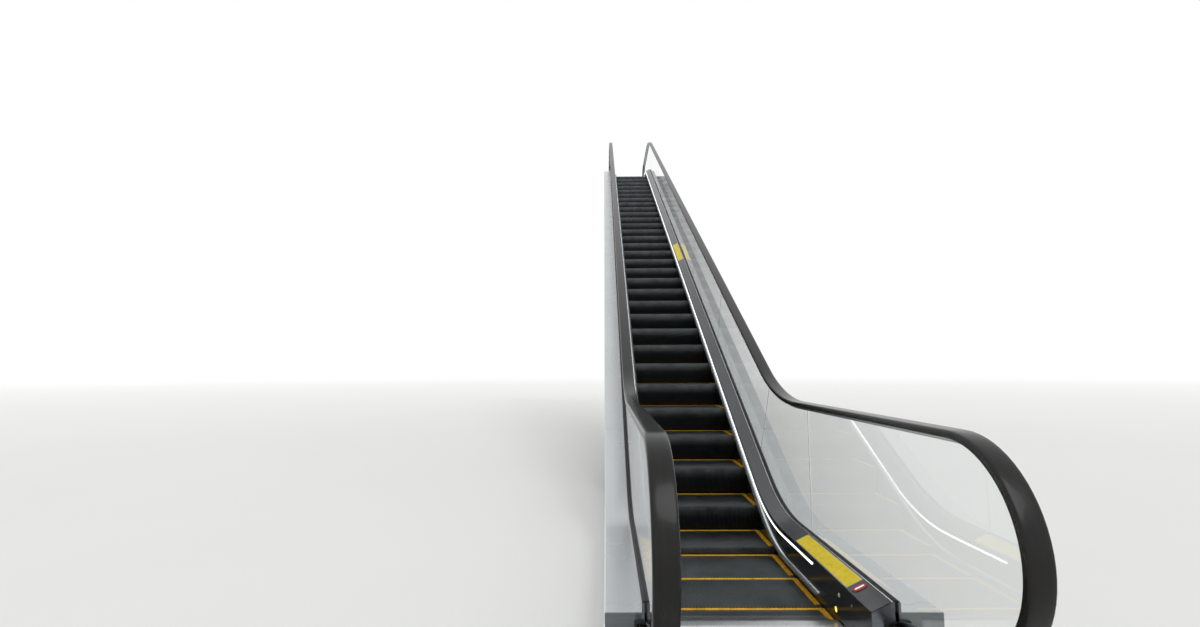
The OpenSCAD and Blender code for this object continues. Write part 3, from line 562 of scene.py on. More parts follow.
def new_tree(name, *inputs):
    """A geometry tree with named inputs and one output."""
    tree = bpy.data.node_groups.new(name, "GeometryNodeTree")
    tree.interface.new_socket("Points", in_out="INPUT", socket_type="NodeSocketGeometry")
    for label, kind in inputs:
        tree.interface.new_socket(label, in_out="INPUT", socket_type="NodeSocket" + kind)
    tree.interface.new_socket("Geometry", in_out="OUTPUT", socket_type="NodeSocketGeometry")
    return tree, tree.nodes.new("NodeGroupInput").outputs


def close_tree(tree, geometry, inputs):
    """Ends a tree in Realize Instances and Set Material."""
    add, link = tree.nodes.new, tree.links.new
    real = add("GeometryNodeRealizeInstances")
    paint = add("GeometryNodeSetMaterial")
    out = add("NodeGroupOutput")
    link(geometry, real.inputs[0])
    link(real.outputs[0], paint.inputs["Geometry"])
    link(inputs["Finish"], paint.inputs["Material"])
    link(paint.outputs[0], out.inputs[0])
    return tree


def pattern_geometry(tree, source):
    """The mesh of a pattern object that is an input of the tree."""
    add, link = tree.nodes.new, tree.links.new
    info = add("GeometryNodeObjectInfo")
    link(source, info.inputs["Object"])
    return info.outputs["Geometry"]


def ribbed_row_tree():
    """A body with a row of ribs across it, set at every point."""
    tree, inputs = new_tree(
        "ribbed_row", ("Body", "Object"), ("Rib", "Object"), ("Rib pitch", "Float"),
        ("Rib count", "Int"), ("First rib", "Vector"), ("Finish", "Material"))
    add, link = tree.nodes.new, tree.links.new
    step = add("ShaderNodeCombineXYZ")
    line = add("GeometryNodeMeshLine")
    ribs = add("GeometryNodeInstanceOnPoints")
    join = add("GeometryNodeJoinGeometry")
    rows = add("GeometryNodeInstanceOnPoints")
    link(inputs["Rib pitch"], step.inputs["X"])
    link(inputs["Rib count"], line.inputs["Count"])
    link(inputs["First rib"], line.inputs["Start Location"])
    link(step.outputs[0], line.inputs["Offset"])
    link(line.outputs[0], ribs.inputs["Points"])
    link(pattern_geometry(tree, inputs["Rib"]), ribs.inputs["Instance"])
    link(pattern_geometry(tree, inputs["Body"]), join.inputs[0])
    link(ribs.outputs[0], join.inputs[0])
    link(inputs["Points"], rows.inputs["Points"])
    link(join.outputs[0], rows.inputs["Instance"])
    return close_tree(tree, rows.outputs[0], inputs)


def fastener_tree():
    """A screw at every point, turned by the point's own turn."""
    tree, inputs = new_tree("fasteners", ("Screw", "Object"), ("Finish", "Material"))
    add, link = tree.nodes.new, tree.links.new
    turn = add("GeometryNodeInputNamedAttribute")
    turn.data_type = "FLOAT_VECTOR"
    turn.inputs["Name"].default_value = "turn"
    rows = add("GeometryNodeInstanceOnPoints")
    link(inputs["Points"], rows.inputs["Points"])
    link(pattern_geometry(tree, inputs["Screw"]), rows.inputs["Instance"])
    link(turn.outputs["Attribute"], rows.inputs["Rotation"])
    return close_tree(tree, rows.outputs[0], inputs)


def bristle_tree():
    """Tufts of bristles along a line, each leaning a little its own way."""
    tree, inputs = new_tree(
        "bristles", ("Spacing", "Float"), ("Tuft length", "Float"), ("Tuft radius", "Float"),
        ("Lean", "Vector"), ("Spread", "Float"), ("Seed", "Int"), ("Finish", "Material"))
    add, link = tree.nodes.new, tree.links.new
    curve = add("GeometryNodeMeshToCurve")
    even = add("GeometryNodeResampleCurve")
    even.mode = "LENGTH"
    tuft = add("GeometryNodeMeshCone")
    tuft.inputs["Vertices"].default_value = 5
    rows = add("GeometryNodeInstanceOnPoints")
    sway = add("FunctionNodeRandomValue")
    sway.data_type = "FLOAT_VECTOR"
    low = add("ShaderNodeVectorMath")
    high = add("ShaderNodeVectorMath")
    low.operation, high.operation = "SUBTRACT", "ADD"
    spread = add("ShaderNodeCombineXYZ")
    for axis in ("X", "Y", "Z"):
        link(inputs["Spread"], spread.inputs[axis])
    for node in (low, high):
        link(inputs["Lean"], node.inputs[0])
        link(spread.outputs[0], node.inputs[1])
    ends = [s for s in sway.inputs if s.enabled and s.type == "VECTOR"]
    link(low.outputs[0], ends[0])
    link(high.outputs[0], ends[1])
    link(inputs["Seed"], sway.inputs["Seed"])
    link(inputs["Points"], curve.inputs[0])
    link(curve.outputs[0], even.inputs["Curve"])
    link(inputs["Spacing"], even.inputs["Length"])
    link(inputs["Tuft length"], tuft.inputs["Depth"])
    link(inputs["Tuft radius"], tuft.inputs["Radius Bottom"])
    link(even.outputs[0], rows.inputs["Points"])
    link(tuft.outputs["Mesh"], rows.inputs["Instance"])
    link([s for s in sway.outputs if s.enabled][0], rows.inputs["Rotation"])
    return close_tree(tree, rows.outputs[0], inputs)


def grow(name, base, tree, values, replaced=(), smooth=35):
    """Runs a tree on a base mesh and keeps the result as a plain finished piece."""
    thing = add_object(name + "_base", base)
    modifier = thing.modifiers.new("grow", "NODES")
    modifier.node_group = tree
    labels = {item.name: item.identifier for item in tree.interface.items_tree if item.in_out == "INPUT"}
    for label, value in values.items():
        modifier[labels[label]] = value
    bpy.context.view_layer.update()
    depsgraph = bpy.context.evaluated_depsgraph_get()
    mesh = bpy.data.meshes.new_from_object(thing.evaluated_get(depsgraph))
    mesh.name = name
    bpy.data.objects.remove(thing)
    mesh.materials.clear()
    mesh.materials.append(values["Finish"])
    mesh.shade_smooth()
    mesh.set_sharp_from_angle(angle=math.radians(smooth))
    return fit(add_object(name, mesh), replaced)


def grow_rows(name, places, patterns, pitch, count, material, node):
    """Sets a body with its centred row of ribs at every place."""
    body, rib = (add_object(name + label, mesh) for label, mesh in zip(("_body", "_rib"), patterns))
    values = {"Body": body, "Rib": rib, "Rib pitch": pitch, "Rib count": count,
              "First rib": (-(count - 1) * pitch / 2, 0, 0), "Finish": material}
    grow(name, point_mesh(name, places), RIBBED_ROW, values, (node,))
    bpy.data.objects.remove(body)
    bpy.data.objects.remove(rib)


def point_mesh(name, points, turns=None, joined=False):
    """A mesh of bare points, with a turn each, or joined into a line."""
    mesh = bpy.data.meshes.new(name)
    edges = [(k, k + 1) for k in range(len(points) - 1)] if joined else []
    mesh.from_pydata(points, edges, [])
    if turns:
        attribute = mesh.attributes.new("turn", "FLOAT_VECTOR", "POINT")
        for item, turn in zip(attribute.data, turns):
            item.vector = turn
    return mesh


RIBBED_ROW = ribbed_row_tree()
FASTENERS = fastener_tree()
BRISTLES = bristle_tree()


# Steps

RIB_PITCH = 0.0091
RIB_W = 0.0046
RISER_RIB = 0.007
RISER_T = 0.004
RIB_COUNT = int((STEP_W - 2 * STRIP_W) / RIB_PITCH)
TREAD_L = STEP_PITCH - TREAD_GAP
STRIP_Y = TREAD_L - STRIP_W
# How far the riser turns down, in degrees, and how deep the step is, for a full and a short one
RISER_TURN = 31.5
FULL_DROP = 0.214
SHORT_TURN = 14.5
SHORT_DROP = 0.1
# Length behind the nose where the side ribs are alloy and not yellow
NOSE_PART = 0.032
FINGER_PITCH = 2 * RIB_PITCH
FINGER_L = 0.010
# Lowest place that a full step may reach, 2 mm over the base plate
LOWEST_STEP_Z = 0.014
NOSE_R = 0.003
EDGE_LIFT = 0.0002
SIDE_RIBS = 3
SIDE_RIB_PITCH = 0.009
SIDE_RIB_W = 0.006
# How far one solid of a piece runs into the next
SINK = 0.001
BRACKET_XS = (-0.378, -0.13, 0.118, 0.366)
BRACKET_T = 0.012
BRACKET_DROP = 0.118
MIDDLE_DROP = 0.07
CROSS_RIB_YS = (0.14, 0.27)
# Thickness, height and half length of the ribs across, under the tread
CROSS_RIB = 0.006, 0.02, 0.36


def nose_at(s):
    """Place of a step nose at a distance along its path."""
    low_turn = STEP_BEND_LOW * INCLINE
    up_turn = STEP_BEND_UP * INCLINE
    slope = (NOSES.slope_end - NOSES.slope_start) / math.cos(INCLINE)
    if s < NOSES.bend_start:
        return NOSES.at(s)
    s -= NOSES.bend_start
    if s < low_turn:
        return NOSES.at(NOSES.bend_start + STEP_BEND_LOW * math.sin(s / STEP_BEND_LOW))
    s -= low_turn
    if s < slope:
        return NOSES.at(NOSES.slope_start + s * math.cos(INCLINE))
    s -= slope
    if s < up_turn:
        return NOSES.at(NOSES.bend_end - STEP_BEND_UP * math.sin((up_turn - s) / STEP_BEND_UP))
    return (NOSES.bend_end + s - up_turn, UP_FLOOR, 0.0)


def step_noses(first, last):
    """Places of the step noses from the first step to the last."""
    places = [nose_at(FIRST_NOSE + k * STEP_PITCH) for k in range(first, last + 1)]
    return [(0, y, z) for y, z, _ in places]


def riser_arc(r, turn, parts=7):
    """Arc of the riser about the rear edge of the tread, from under the cleats down."""
    top = math.degrees(math.asin(CLEAT_H / TREAD_L))
    return arc((TREAD_L, 0), r, 180 + top, 180 + turn, parts)


def rib_outline(turn, rear):
    """Side outline of a cleat that runs from the rear of the tread to the nose and down the riser."""
    nose = [(rear, 0.0), (NOSE_R, 0.0), (0.0008, -0.0012), (0.0, -NOSE_R - SINK)]
    outer = riser_arc(TREAD_L, turn)
    inner = riser_arc(TREAD_L - RISER_RIB - SINK, turn)
    foot = -CLEAT_H - SINK
    return nose + outer[1:] + inner[::-1][:-1] + [(4 * NOSE_R, foot), (rear, foot)]


def tread_rib(turn):
    """One cleat of the tread that runs on down the riser."""
    shell = Shell()
    shell.prism(rib_outline(turn, STRIP_Y), -RIB_W / 2, RIB_W / 2)
    return with_height(shell.mesh("tread_rib"))


def with_height(mesh):
    """Stores how high each point is over the tread, for the wear on the tread and the painted highlight on
    the upper riser.
    """
    heights = mesh.attributes.new("height", "FLOAT", "POINT")
    for item, vertex in zip(heights.data, mesh.vertices):
        item.value = vertex.co.z
    return mesh


def side_ribs():
    """Places across the tread of the three coarse ribs at each end, as pairs of x."""
    inner = STEP_W / 2 - STRIP_W
    starts = [inner + (SIDE_RIB_PITCH - SIDE_RIB_W) / 2 + k * SIDE_RIB_PITCH for k in range(SIDE_RIBS)]
    return [(side * x, side * (x + SIDE_RIB_W)) for x in starts for side in (-1, 1)]


def step_body(turn, drop):
    """Tread slab, riser sheet, side frames and ribs under the tread of one step."""
    shell = Shell()
    under = -CLEAT_H - TREAD_T
    half = STEP_W / 2
    shell.bar(0.008, TREAD_L, under, -CLEAT_H, -half, half)
    riser = riser_arc(TREAD_L - RISER_RIB, turn) + riser_arc(TREAD_L - RISER_RIB - RISER_T, turn)[::-1]
    shell.prism(riser, -half, half)
    for x0, x1 in side_ribs():
        shell.prism(rib_outline(turn, NOSE_PART), x0, x1)
    foot_y = TREAD_L - (TREAD_L - 0.03) * math.cos(math.radians(turn))
    rear = TREAD_L - 0.006
    side = [(0.02, under), (rear, under), (rear, -min(drop, BRACKET_DROP)),
            (0.33, -min(drop, BRACKET_DROP + 0.006)), (0.138, -drop), (foot_y + 0.01, -drop)]
    middle = [(y, max(z, -MIDDLE_DROP)) for y, z in side]
    for x in BRACKET_XS:
        shell.prism(middle if x in BRACKET_XS[1:-1] else side, x, x + BRACKET_T)
    rib_t, rib_h, rib_half = CROSS_RIB
    for y in CROSS_RIB_YS:
        shell.bar(y, y + rib_t, under - rib_h, under, -rib_half, rib_half)
    return with_height(shell.mesh("step_body"))


def step_pieces():
    """The cleated steps, in runs that stand for the three step nodes."""
    full, short = (RISER_TURN, FULL_DROP), (SHORT_TURN, SHORT_DROP)
    lower = step_noses(FIRST_STEP, LOWER_STEPS)
    sunk = [p for p in lower if p[2] - FULL_DROP < LOWEST_STEP_Z]
    runs = (("steps_landing", sunk, short, "steps_lower"),
            ("steps_foot", lower[len(sunk):], full, "steps_lower"),
            ("steps_mid", step_noses(LOWER_STEPS + 1, MIDDLE_STEPS), full, "steps_middle"),
            ("steps_head", step_noses(MIDDLE_STEPS + 1, LAST_STEP), full, "steps_upper"))
    for name, places, (turn, drop), node in runs:
        patterns = step_body(turn, drop), tread_rib(turn)
        grow_rows(name, places, patterns, RIB_PITCH, RIB_COUNT, STEP_ALLOY, node)


def edge_body():
    """Yellow strips of one step: ribbed side strips and the base of the rear strip."""
    shell = Shell()
    half, inner = STEP_W / 2, STEP_W / 2 - STRIP_W
    front = NOSE_PART + 0.0005
    foot = -CLEAT_H + EDGE_LIFT
    for side in (-1, 1):
        shell.bar(front, STRIP_Y, foot, -0.004, side * half, side * inner)
    for x0, x1 in side_ribs():
        shell.bar(front, STRIP_Y, -0.0045, 0.0, x0, x1)
    solid = TREAD_L - FINGER_L
    outline = [(STRIP_Y, foot), (solid, foot), (solid, -0.0008), (solid - 0.001, 0.0),
               (STRIP_Y + 0.001, 0.0), (STRIP_Y, -0.001)]
    shell.prism(outline, -half, half)
    return shell.mesh("edge_body")


def edge_rib():
    """One tapered yellow finger of the rear strip, which meshes with the next riser."""
    shell = Shell()
    root_y = TREAD_L - FINGER_L - 0.001
    foot = -CLEAT_H + EDGE_LIFT
    places = (root_y, 0.0068, -0.0003), (TREAD_L - 0.002, 0.0040, -0.0006), (TREAD_L, 0.0030, -0.003)
    shell.stack([[(-half, y, foot), (half, y, foot), (half, y, top), (-half, y, top)]
                 for y, half, top in places])
    return shell.mesh("edge_rib")


def edge_strips():
    """The yellow strips of all steps, with their row of fingers."""
    places, count = step_noses(FIRST_STEP, LAST_STEP), int(STEP_W / FINGER_PITCH)
    patterns = edge_body(), edge_rib()
    grow_rows("step_edge_strips", places, patterns, FINGER_PITCH, count, STEP_YELLOW,
              "step_edges")


step_pieces()
edge_strips()


# Combs and floor plates

COMB_L = 0.09
TOOTH_L = 0.07
TOOTH_W = 0.0032
TOOTH_DIP = 0.005
COMB_JOINT = 0.0008
COMB_PARTS = 4
LEDGE = 0.025
PLATE_JOINT = 0.002
GROOVE_PITCH = 0.011
PLATE_Z = FLOOR_UP - 0.022
COMB_GAP = 0.002


def at_landing(upper, y, z):
    """A place given from the comb line outwards, as y and height over the level steps."""
    return (UP_COMB_Y - y, UP_FLOOR + z) if upper else (y, FRAME_H + z)


def comb_tooth(upper):
    """One comb tooth, which dips into a groove of the tread."""
    outline = [(-0.004, COMB_GAP), (0.003, COMB_GAP), (0.009, -TOOTH_DIP), (TOOTH_L, -TOOTH_DIP),
               (TOOTH_L, -0.7 * TOOTH_DIP), (TOOTH_L - 0.015, 0.0005), (-0.03, FLOOR_UP)]
    shell = Shell()
    shell.prism([at_landing(upper, y, z) for y, z in outline], -TOOTH_W / 2, TOOTH_W / 2)
    return shell.mesh("comb_tooth")


def comb_body(upper):
    """Comb segments side by side, with a bevelled front edge and a fine joint between them."""
    shell = Shell()
    part_w = STEP_W / COMB_PARTS
    outline = [(-COMB_L, COMB_GAP), (0.0, COMB_GAP), (0.001, 0.0068), (-0.028, FLOOR_UP - 0.0004),
               (-0.032, FLOOR_UP), (-COMB_L + 0.001, FLOOR_UP), (-COMB_L, FLOOR_UP - 0.001)]
    for k in range(COMB_PARTS):
        x = -STEP_W / 2 + k * part_w
        ends = x + COMB_JOINT / 2, x + part_w - COMB_JOINT / 2
        shell.prism([at_landing(upper, y, z) for y, z in outline], *ends)
    return shell.mesh("comb_body")


def comb_pieces():
    """Both combs, with a tooth for every groove of the tread."""
    for upper, name in ((False, "comb_low"), (True, "comb_high")):
        patterns = comb_body(upper), comb_tooth(upper)
        grow_rows(name, [(0, 0, 0)], patterns, RIB_PITCH, RIB_COUNT + 1, COMB_ALLOY, "combs")


def grooved_section(x0, x1, top, bottom, pitch, groove):
    """Section of a plate with fine grooves in its top."""
    count = int((x1 - x0 - 0.01) / pitch)
    start = (x0 + x1 - count * pitch) / 2
    points = [(x0, bottom), (x0, top)]
    for k in range(count):
        x = start + k * pitch
        points += [(x, top), (x + 0.0008, top - groove), (x + pitch * 0.42, top - groove),
                   (x + pitch * 0.42 + 0.0008, top)]
    return points + [(x1, top), (x1, bottom)]


def landing_plates():
    """Ribbed comb plates and floor plates of both landings."""
    plates = Shell()
    combs = Shell()
    length = (PLATE_RUN - DECK_RUN - PLATE_JOINT) / 2
    section = grooved_section(-LEFT_OUT, RIGHT_OUT, FLOOR_UP, PLATE_Z, GROOVE_PITCH, 0.0022)
    half = SKIRT_X - 0.001
    comb_section = grooved_section(-half, half, FLOOR_UP, COMB_GAP, GROOVE_PITCH, 0.0016)
    for upper in (False, True):
        z = UP_FLOOR if upper else FRAME_H

        def run(start, end):
            """The y of both ends of a plate, given from the comb line outwards."""
            return sorted(at_landing(upper, -y, 0)[0] for y in (start, end))

        for k in (0, 1):
            end = PLATE_RUN - k * (length + PLATE_JOINT)
            plates.sweep([(y, z, 0.0) for y in run(end - length, end)], section)
        combs.sweep([(y, z, 0.0) for y in run(COMB_L, DECK_RUN)], comb_section)
        combs.bar(*run(DECK_RUN - 2 * LEDGE, DECK_RUN), z + PLATE_Z, z + COMB_GAP, -half, half)
    make_piece("ribbed_floor_plates", plates, PLATE_STEEL, ("floor_plates",))
    make_piece("ribbed_comb_plates", combs, COMB_ALLOY, ("comb_plates",))


comb_pieces()
landing_plates()


# Decks, seals, lights and brushes

SIDES = (("left", -1), ("right", 1))
DECK_JOINT = 0.0015
DECK_END_L = 0.09
DECK_L = 2.4
DECK_FOLD_R = 0.007
BEAD_R = 0.0026
SEAL_IN = 0.005
SEAL_OUT = 0.0205
SEAL_STEM = 0.013
SEAL_FOOT = 0.0402
SEAL_TOP = 0.0478
WALL_T = 0.0073
TAB_L = 0.032
TAB_T = 0.0007
TAB_SLANT = 0.02
# Angle in degrees up to which the faces of a deck are shaded as one
FLAT = 3


def lengths(y0, y1, size):
    """Splits a run into equal lengths with a fine joint between them."""
    count = max(1, round((y1 - y0) / size))
    step = (y1 - y0) / count
    return [(y0 + k * step, y0 + (k + 1) * step - (DECK_JOINT if k < count - 1 else 0)) for k in range(count)]


def deck_lengths():
    """Lengths of the decks: a short one at each end and long ones between."""
    inner = lengths(DECK_Y0 + DECK_END_L, DECK_Y1 - DECK_END_L, DECK_L)
    first = (DECK_Y0, DECK_Y0 + DECK_END_L - DECK_JOINT)
    last = (DECK_Y1 - DECK_END_L + DECK_JOINT, DECK_Y1)
    return [first] + inner + [last]


def outer_deck_section(out):
    """A level sheet with a rounded outer edge, folded down."""
    r, t = DECK_FOLD_R, SHEET_T
    outside = arc((out - r, t - r), r, 90, 0, 5)
    inside = arc((out - r, t - r), r - t, 0, 90, 5)
    return ([(CLAMP_X1, t)] + outside + [(out, -DECK_EDGE), (out - t, -DECK_EDGE)] + inside
            + [(CLAMP_X1, 0.0)])


def inner_deck_section():
    """An inclined sheet, with a rounded lower edge over the skirt."""
    t = SHEET_T
    rise = DECK_RISE / (CLAMP_X0 - SKIRT_X)
    lip = [(SKIRT_X, 0.0), (SKIRT_X, t * 0.5), (SKIRT_X + 0.0012, t + 0.0012 * rise)]
    return lip + [(CLAMP_X0, DECK_RISE + t), (CLAMP_X0, DECK_RISE), (SKIRT_X + t, 0.0)]


def bead_section():
    """A small polished bead that closes the top of the inner deck against the seal."""
    lift = BEAD_R - 0.0001
    return arc((CLAMP_X0 + lift, DECK_RISE + lift), BEAD_R, 0, 330, 8)


def seal_section(side_of_glass, foot_h=-0.058):
    """A rubber seal beside the glass, with a rounded lip on the clamp."""
    top = [(SEAL_IN, SEAL_TOP - 0.0003), (SEAL_IN + 0.002, SEAL_TOP), (SEAL_OUT - 0.006, SEAL_TOP - 0.0016),
           (SEAL_OUT, SEAL_FOOT + 0.0023), (SEAL_OUT, SEAL_FOOT)]
    foot = [(SEAL_STEM, SEAL_FOOT), (SEAL_STEM, foot_h), (SEAL_IN, foot_h)]
    return [(RAIL_X + side_of_glass * x, h) for x, h in top + foot]


def notch_tab(shell, upper, out, side):
    """A thin tab of the end length that laps onto the next outer deck, with a slanted corner."""
    x0, x1 = CLAMP_X1 + 0.004, CLAMP_X1 + 0.4 * (out - CLAMP_X1)
    near = DECK_END_L - DECK_RUN
    back, far, wide = near - TAB_SLANT, near + TAB_L, x1 + TAB_SLANT
    outline = [(x0, back), (wide, back), (wide, near), (x1, far), (x0, far)]
    lifts = SKIRT_H + SHEET_T, SKIRT_H + SHEET_T + TAB_T
    shell.stack([[(side * x, *at_landing(upper, along, z)) for x, along in outline] for z in lifts])


def end_wall_section(side_of_glass):
    """The clamp wall where it runs on over the handrail inlet."""
    outer = CLAMP_HALF - 0.0002
    inner = outer - WALL_T
    corners = (inner, 0.0), (outer, 0.0), (outer, DECK_RISE), (inner, DECK_RISE)
    return [(RAIL_X + side_of_glass * x, h) for x, h in corners]


def deck_pieces():
    """Inner and outer decks, their polished bead and the glass seals, on both sides."""
    for name, side in SIDES:
        out = LEFT_OUT if side < 0 else RIGHT_OUT
        outer, inner, bead, seal, wall = Shell(), Shell(), Shell(), Shell(), Shell()
        for y0, y1 in deck_lengths():
            outer.sweep(DECKS.stations(y0, y1), outer_deck_section(out), side)
            inner.sweep(DECKS.stations(y0, y1), inner_deck_section(), side)
        for upper in (False, True):
            notch_tab(outer, upper, out, side)
        bead.sweep(DECKS.stations(DECK_Y0, DECK_Y1), bead_section(), side)
        for of_glass in (-1, 1):
            seal.sweep(DECKS.stations(CLAMP_Y0, CLAMP_Y1), seal_section(of_glass), side)
            for y0, y1 in ((DECK_Y0 + 0.001, CLAMP_Y0 - 0.0005), (CLAMP_Y1 + 0.0005, DECK_Y1 - 0.001)):
                seal.sweep(DECKS.stations(y0, y1), seal_section(of_glass, 0.0), side)
                wall.sweep(DECKS.stations(y0, y1), end_wall_section(of_glass), side)
        outer_node, inner_node = "outer_deck_" + name, "inner_deck_" + name
        make_piece("outer_deck_sheet_" + name, outer, OUTER_STEEL, (outer_node,), FLAT)
        make_piece("inner_deck_sheet_" + name, inner, INNER_STEEL, (inner_node,), FLAT)
        make_piece("deck_bead_" + name, bead, BRIGHT_ALLOY)
        make_piece("clamp_ends_" + name, wall, GUIDE_STEEL)
        make_piece("glass_seal_lips_" + name, seal, SEAL_RUBBER, ("glass_seals",))


def light_pieces():
    """Lit strips under the deck edge, each in a slim alloy channel."""
    diffuser, channel = Shell(), Shell()
    top = -LIGHT_DROP
    low = top - LIGHT_H
    x, front = SKIRT_X, SKIRT_X - LIGHT_T
    rim, bevel, crown, lip_t = 0.001, 0.0012, 0.003, 0.0009
    lens_section = [(x, low + rim), (x, top - rim), (front + bevel, top - rim), (front, top - crown),
                    (front, low + crown), (front + bevel, low + rim)]
    near = front + 0.0008
    rims = [[(x, h), (near, h), (near, h + lip), (x, h + lip)] for h, lip in ((top, -lip_t), (low, lip_t))]
    for _, side in SIDES:
        for y0, y1 in lengths(LIGHT_END, UP_COMB_Y - LIGHT_END, LIGHT_PART):
            diffuser.sweep(DECKS.stations(y0, y1), lens_section, side)
        for rim_section in rims:
            channel.sweep(DECKS.stations(LIGHT_END, UP_COMB_Y - LIGHT_END), rim_section, side)
    make_piece("skirt_light_lenses", diffuser, DIFFUSER, ("skirt_lights",))
    make_piece("skirt_light_channels", channel, BRIGHT_ALLOY)


def brush_pieces():
    """Alloy brush holders on the skirts, with two rows of bristle tufts each."""
    y0, y1 = BRUSH_END, UP_COMB_Y - BRUSH_END
    x = SKIRT_X
    tip = x - HOLDER_W
    holder_section = [(x, 0.0), (x, HOLDER_H), (x - 0.002, HOLDER_H), (tip + 0.001, 0.0105), (tip, 0.009),
                      (tip, 0.0015), (tip + 0.0015, 0.0)]
    for name, side in SIDES:
        holder = Shell()
        for a, b in lengths(y0, y1, HOLDER_PART):
            holder.sweep(BRUSHES.stations(a, b), holder_section, side)
        make_piece("brush_holder_" + name, holder, BRIGHT_ALLOY, ("skirt_brush_" + name,))
        for row, (height, drop) in enumerate(TUFT_ROWS):
            line = [(side * (tip + 0.0005), y - height * math.sin(a), z + height * math.cos(a))
                    for y, z, a in BRUSHES.stations(y0 + 0.004, y1 - 0.004)]
            values = {"Spacing": TUFT_PITCH, "Tuft length": BRUSH_REACH - 0.012, "Tuft radius": TUFT_R,
                      "Lean": (0, side * -(math.pi / 2 + drop), 0), "Spread": 0.05, "Seed": 3 + row,
                      "Finish": LIT_BRISTLE_GREY}
            title = "bristles_%s_%d" % (name, row + 1)
            grow(title, point_mesh(title, line, joined=True), BRISTLES, values,
                 ("skirt_brush_" + name,))


deck_pieces()
light_pieces()
brush_pieces()


# Handrails and their guides


def handrail_section():
    """A flat C that wraps round its guide, with a low crown and round shoulders."""
    half = RAIL_W / 2
    hollow = half - 0.010
    lip_in = hollow - 0.006
    shoulder, lip_r = 0.0095, 0.003
    right = [(hollow, 0.0002), (hollow, -0.009), (lip_in, -0.009), (lip_in, -RAIL_LIP + 0.001),
             (lip_in + 0.001, -RAIL_LIP)]
    right += arc((half - lip_r, -RAIL_LIP + lip_r), lip_r, 270, 360, 3)
    right += arc((half - shoulder, RAIL_T - 0.001 - shoulder), shoulder, 0, 82, 6)
    right += [(0.018, RAIL_T - 0.0003), (0.0, RAIL_T)]
    left = [(-x, h) for x, h in right[-2::-1]]
    return [(RAIL_X + x, h) for x, h in right + left]


def guide_section():
    """A bright steel profile on the glass edge, which the handrail slides on."""
    head, stem, slot = 0.0295, 0.009, 0.0052
    flange, foot, slot_top = -0.0083, -0.032, -0.024
    right = [(head - 0.001, -0.0003), (head, -0.001), (head, flange), (stem, flange), (stem, foot + 0.001),
             (stem - 0.0012, foot), (slot, foot), (slot, slot_top)]
    left = [(-x, h) for x, h in reversed(right)]
    return [(RAIL_X + x, h) for x, h in left[4:] + right + left[:4]]


def rail_pieces():
    """Both handrails and the guides they slide on."""
    for name, side in SIDES:
        rail, guide = Shell(), Shell()
        rail.sweep(rail_stations(), handrail_section(), side)
        guide.sweep(rail_stations(), guide_section(), side)
        make_piece("handrail_belt_" + name, rail, RAIL_RUBBER, ("handrail_" + name,), 50)
        make_piece("rail_guide_" + name, guide, GUIDE_STEEL, ("handrail_guide_" + name,), 50)


rail_pieces()


# Lamps and deck strips

LAMP_Y = -0.17
LAMP_W = 0.072
LAMP_L = 0.046
# Place along the run from the comb line, height over the steps and radius
COMB_LAMP_Y, COMB_LAMP_Z, COMB_LAMP_R = 0.0, 0.054, 0.014
SENSOR_Y, SENSOR_Z, SENSOR_R = -0.04, 0.133, 0.010
STRIP_MARGIN = 0.006


def deck_place(side, upper, along, across, lift):
    """Matrix of a place on an inner deck: along it from the comb line, and across from its middle."""
    reach = (CLAMP_X0 - SKIRT_X) / 2 + across * math.cos(DECK_TILT)
    y, z = at_landing(upper, along, SKIRT_H + SHEET_T + reach * math.tan(DECK_TILT))
    turn = Matrix.Rotation(-side * DECK_TILT, 4, "Y")
    return Matrix.Translation((side * (SKIRT_X + reach), y, z)) @ turn @ Matrix.Translation((0, 0, lift))


def oval(shell, place, w, l, h, edge):
    """A low oval solid with a bevelled edge."""
    half = (w - l) / 2
    rings = []
    for inset, height in ((0.0, 0.0), (0.0, h - edge), (edge, h)):
        r = l / 2 - inset
        right = arc((half, 0), r, -90, 90, 10)
        left = arc((-half, 0), r, 90, 270, 10)
        rings.append([place @ Vector((x, y, height)) for x, y in right + left])
    shell.stack(rings)


def travel_lamps():
    """Red travel lamps with a plain white bar, one at each landing."""
    bezel, red, bar = Shell(), Shell(), Shell()
    for upper in (False, True):
        oval(bezel, deck_place(1, upper, LAMP_Y, 0, 0), LAMP_W, LAMP_L, 0.002, 0.0008)
        oval(red, deck_place(1, upper, LAMP_Y, 0, 0.001), LAMP_W - 0.006, LAMP_L - 0.006, 0.003, 0.0012)
        oval(bar, deck_place(1, upper, LAMP_Y, 0, 0.0035), LAMP_W - 0.026, 0.010, 0.0008, 0.0003)
    make_piece("travel_lamp_rims", bezel, SEAL_RUBBER)
    make_piece("travel_lamp_lenses", red, RED_LENS, ("travel_lamps",))
    make_piece("travel_lamp_bars", bar, WHITE_LENS)


def skirt_place(side, upper, y, z):
    """Matrix of a place on the inner face of a skirt, facing the steps."""
    y, z = at_landing(upper, y, z)
    turn = Matrix.Rotation(-side * math.pi / 2, 4, "Y")
    return Matrix.Translation((side * SKIRT_X, y, z)) @ turn


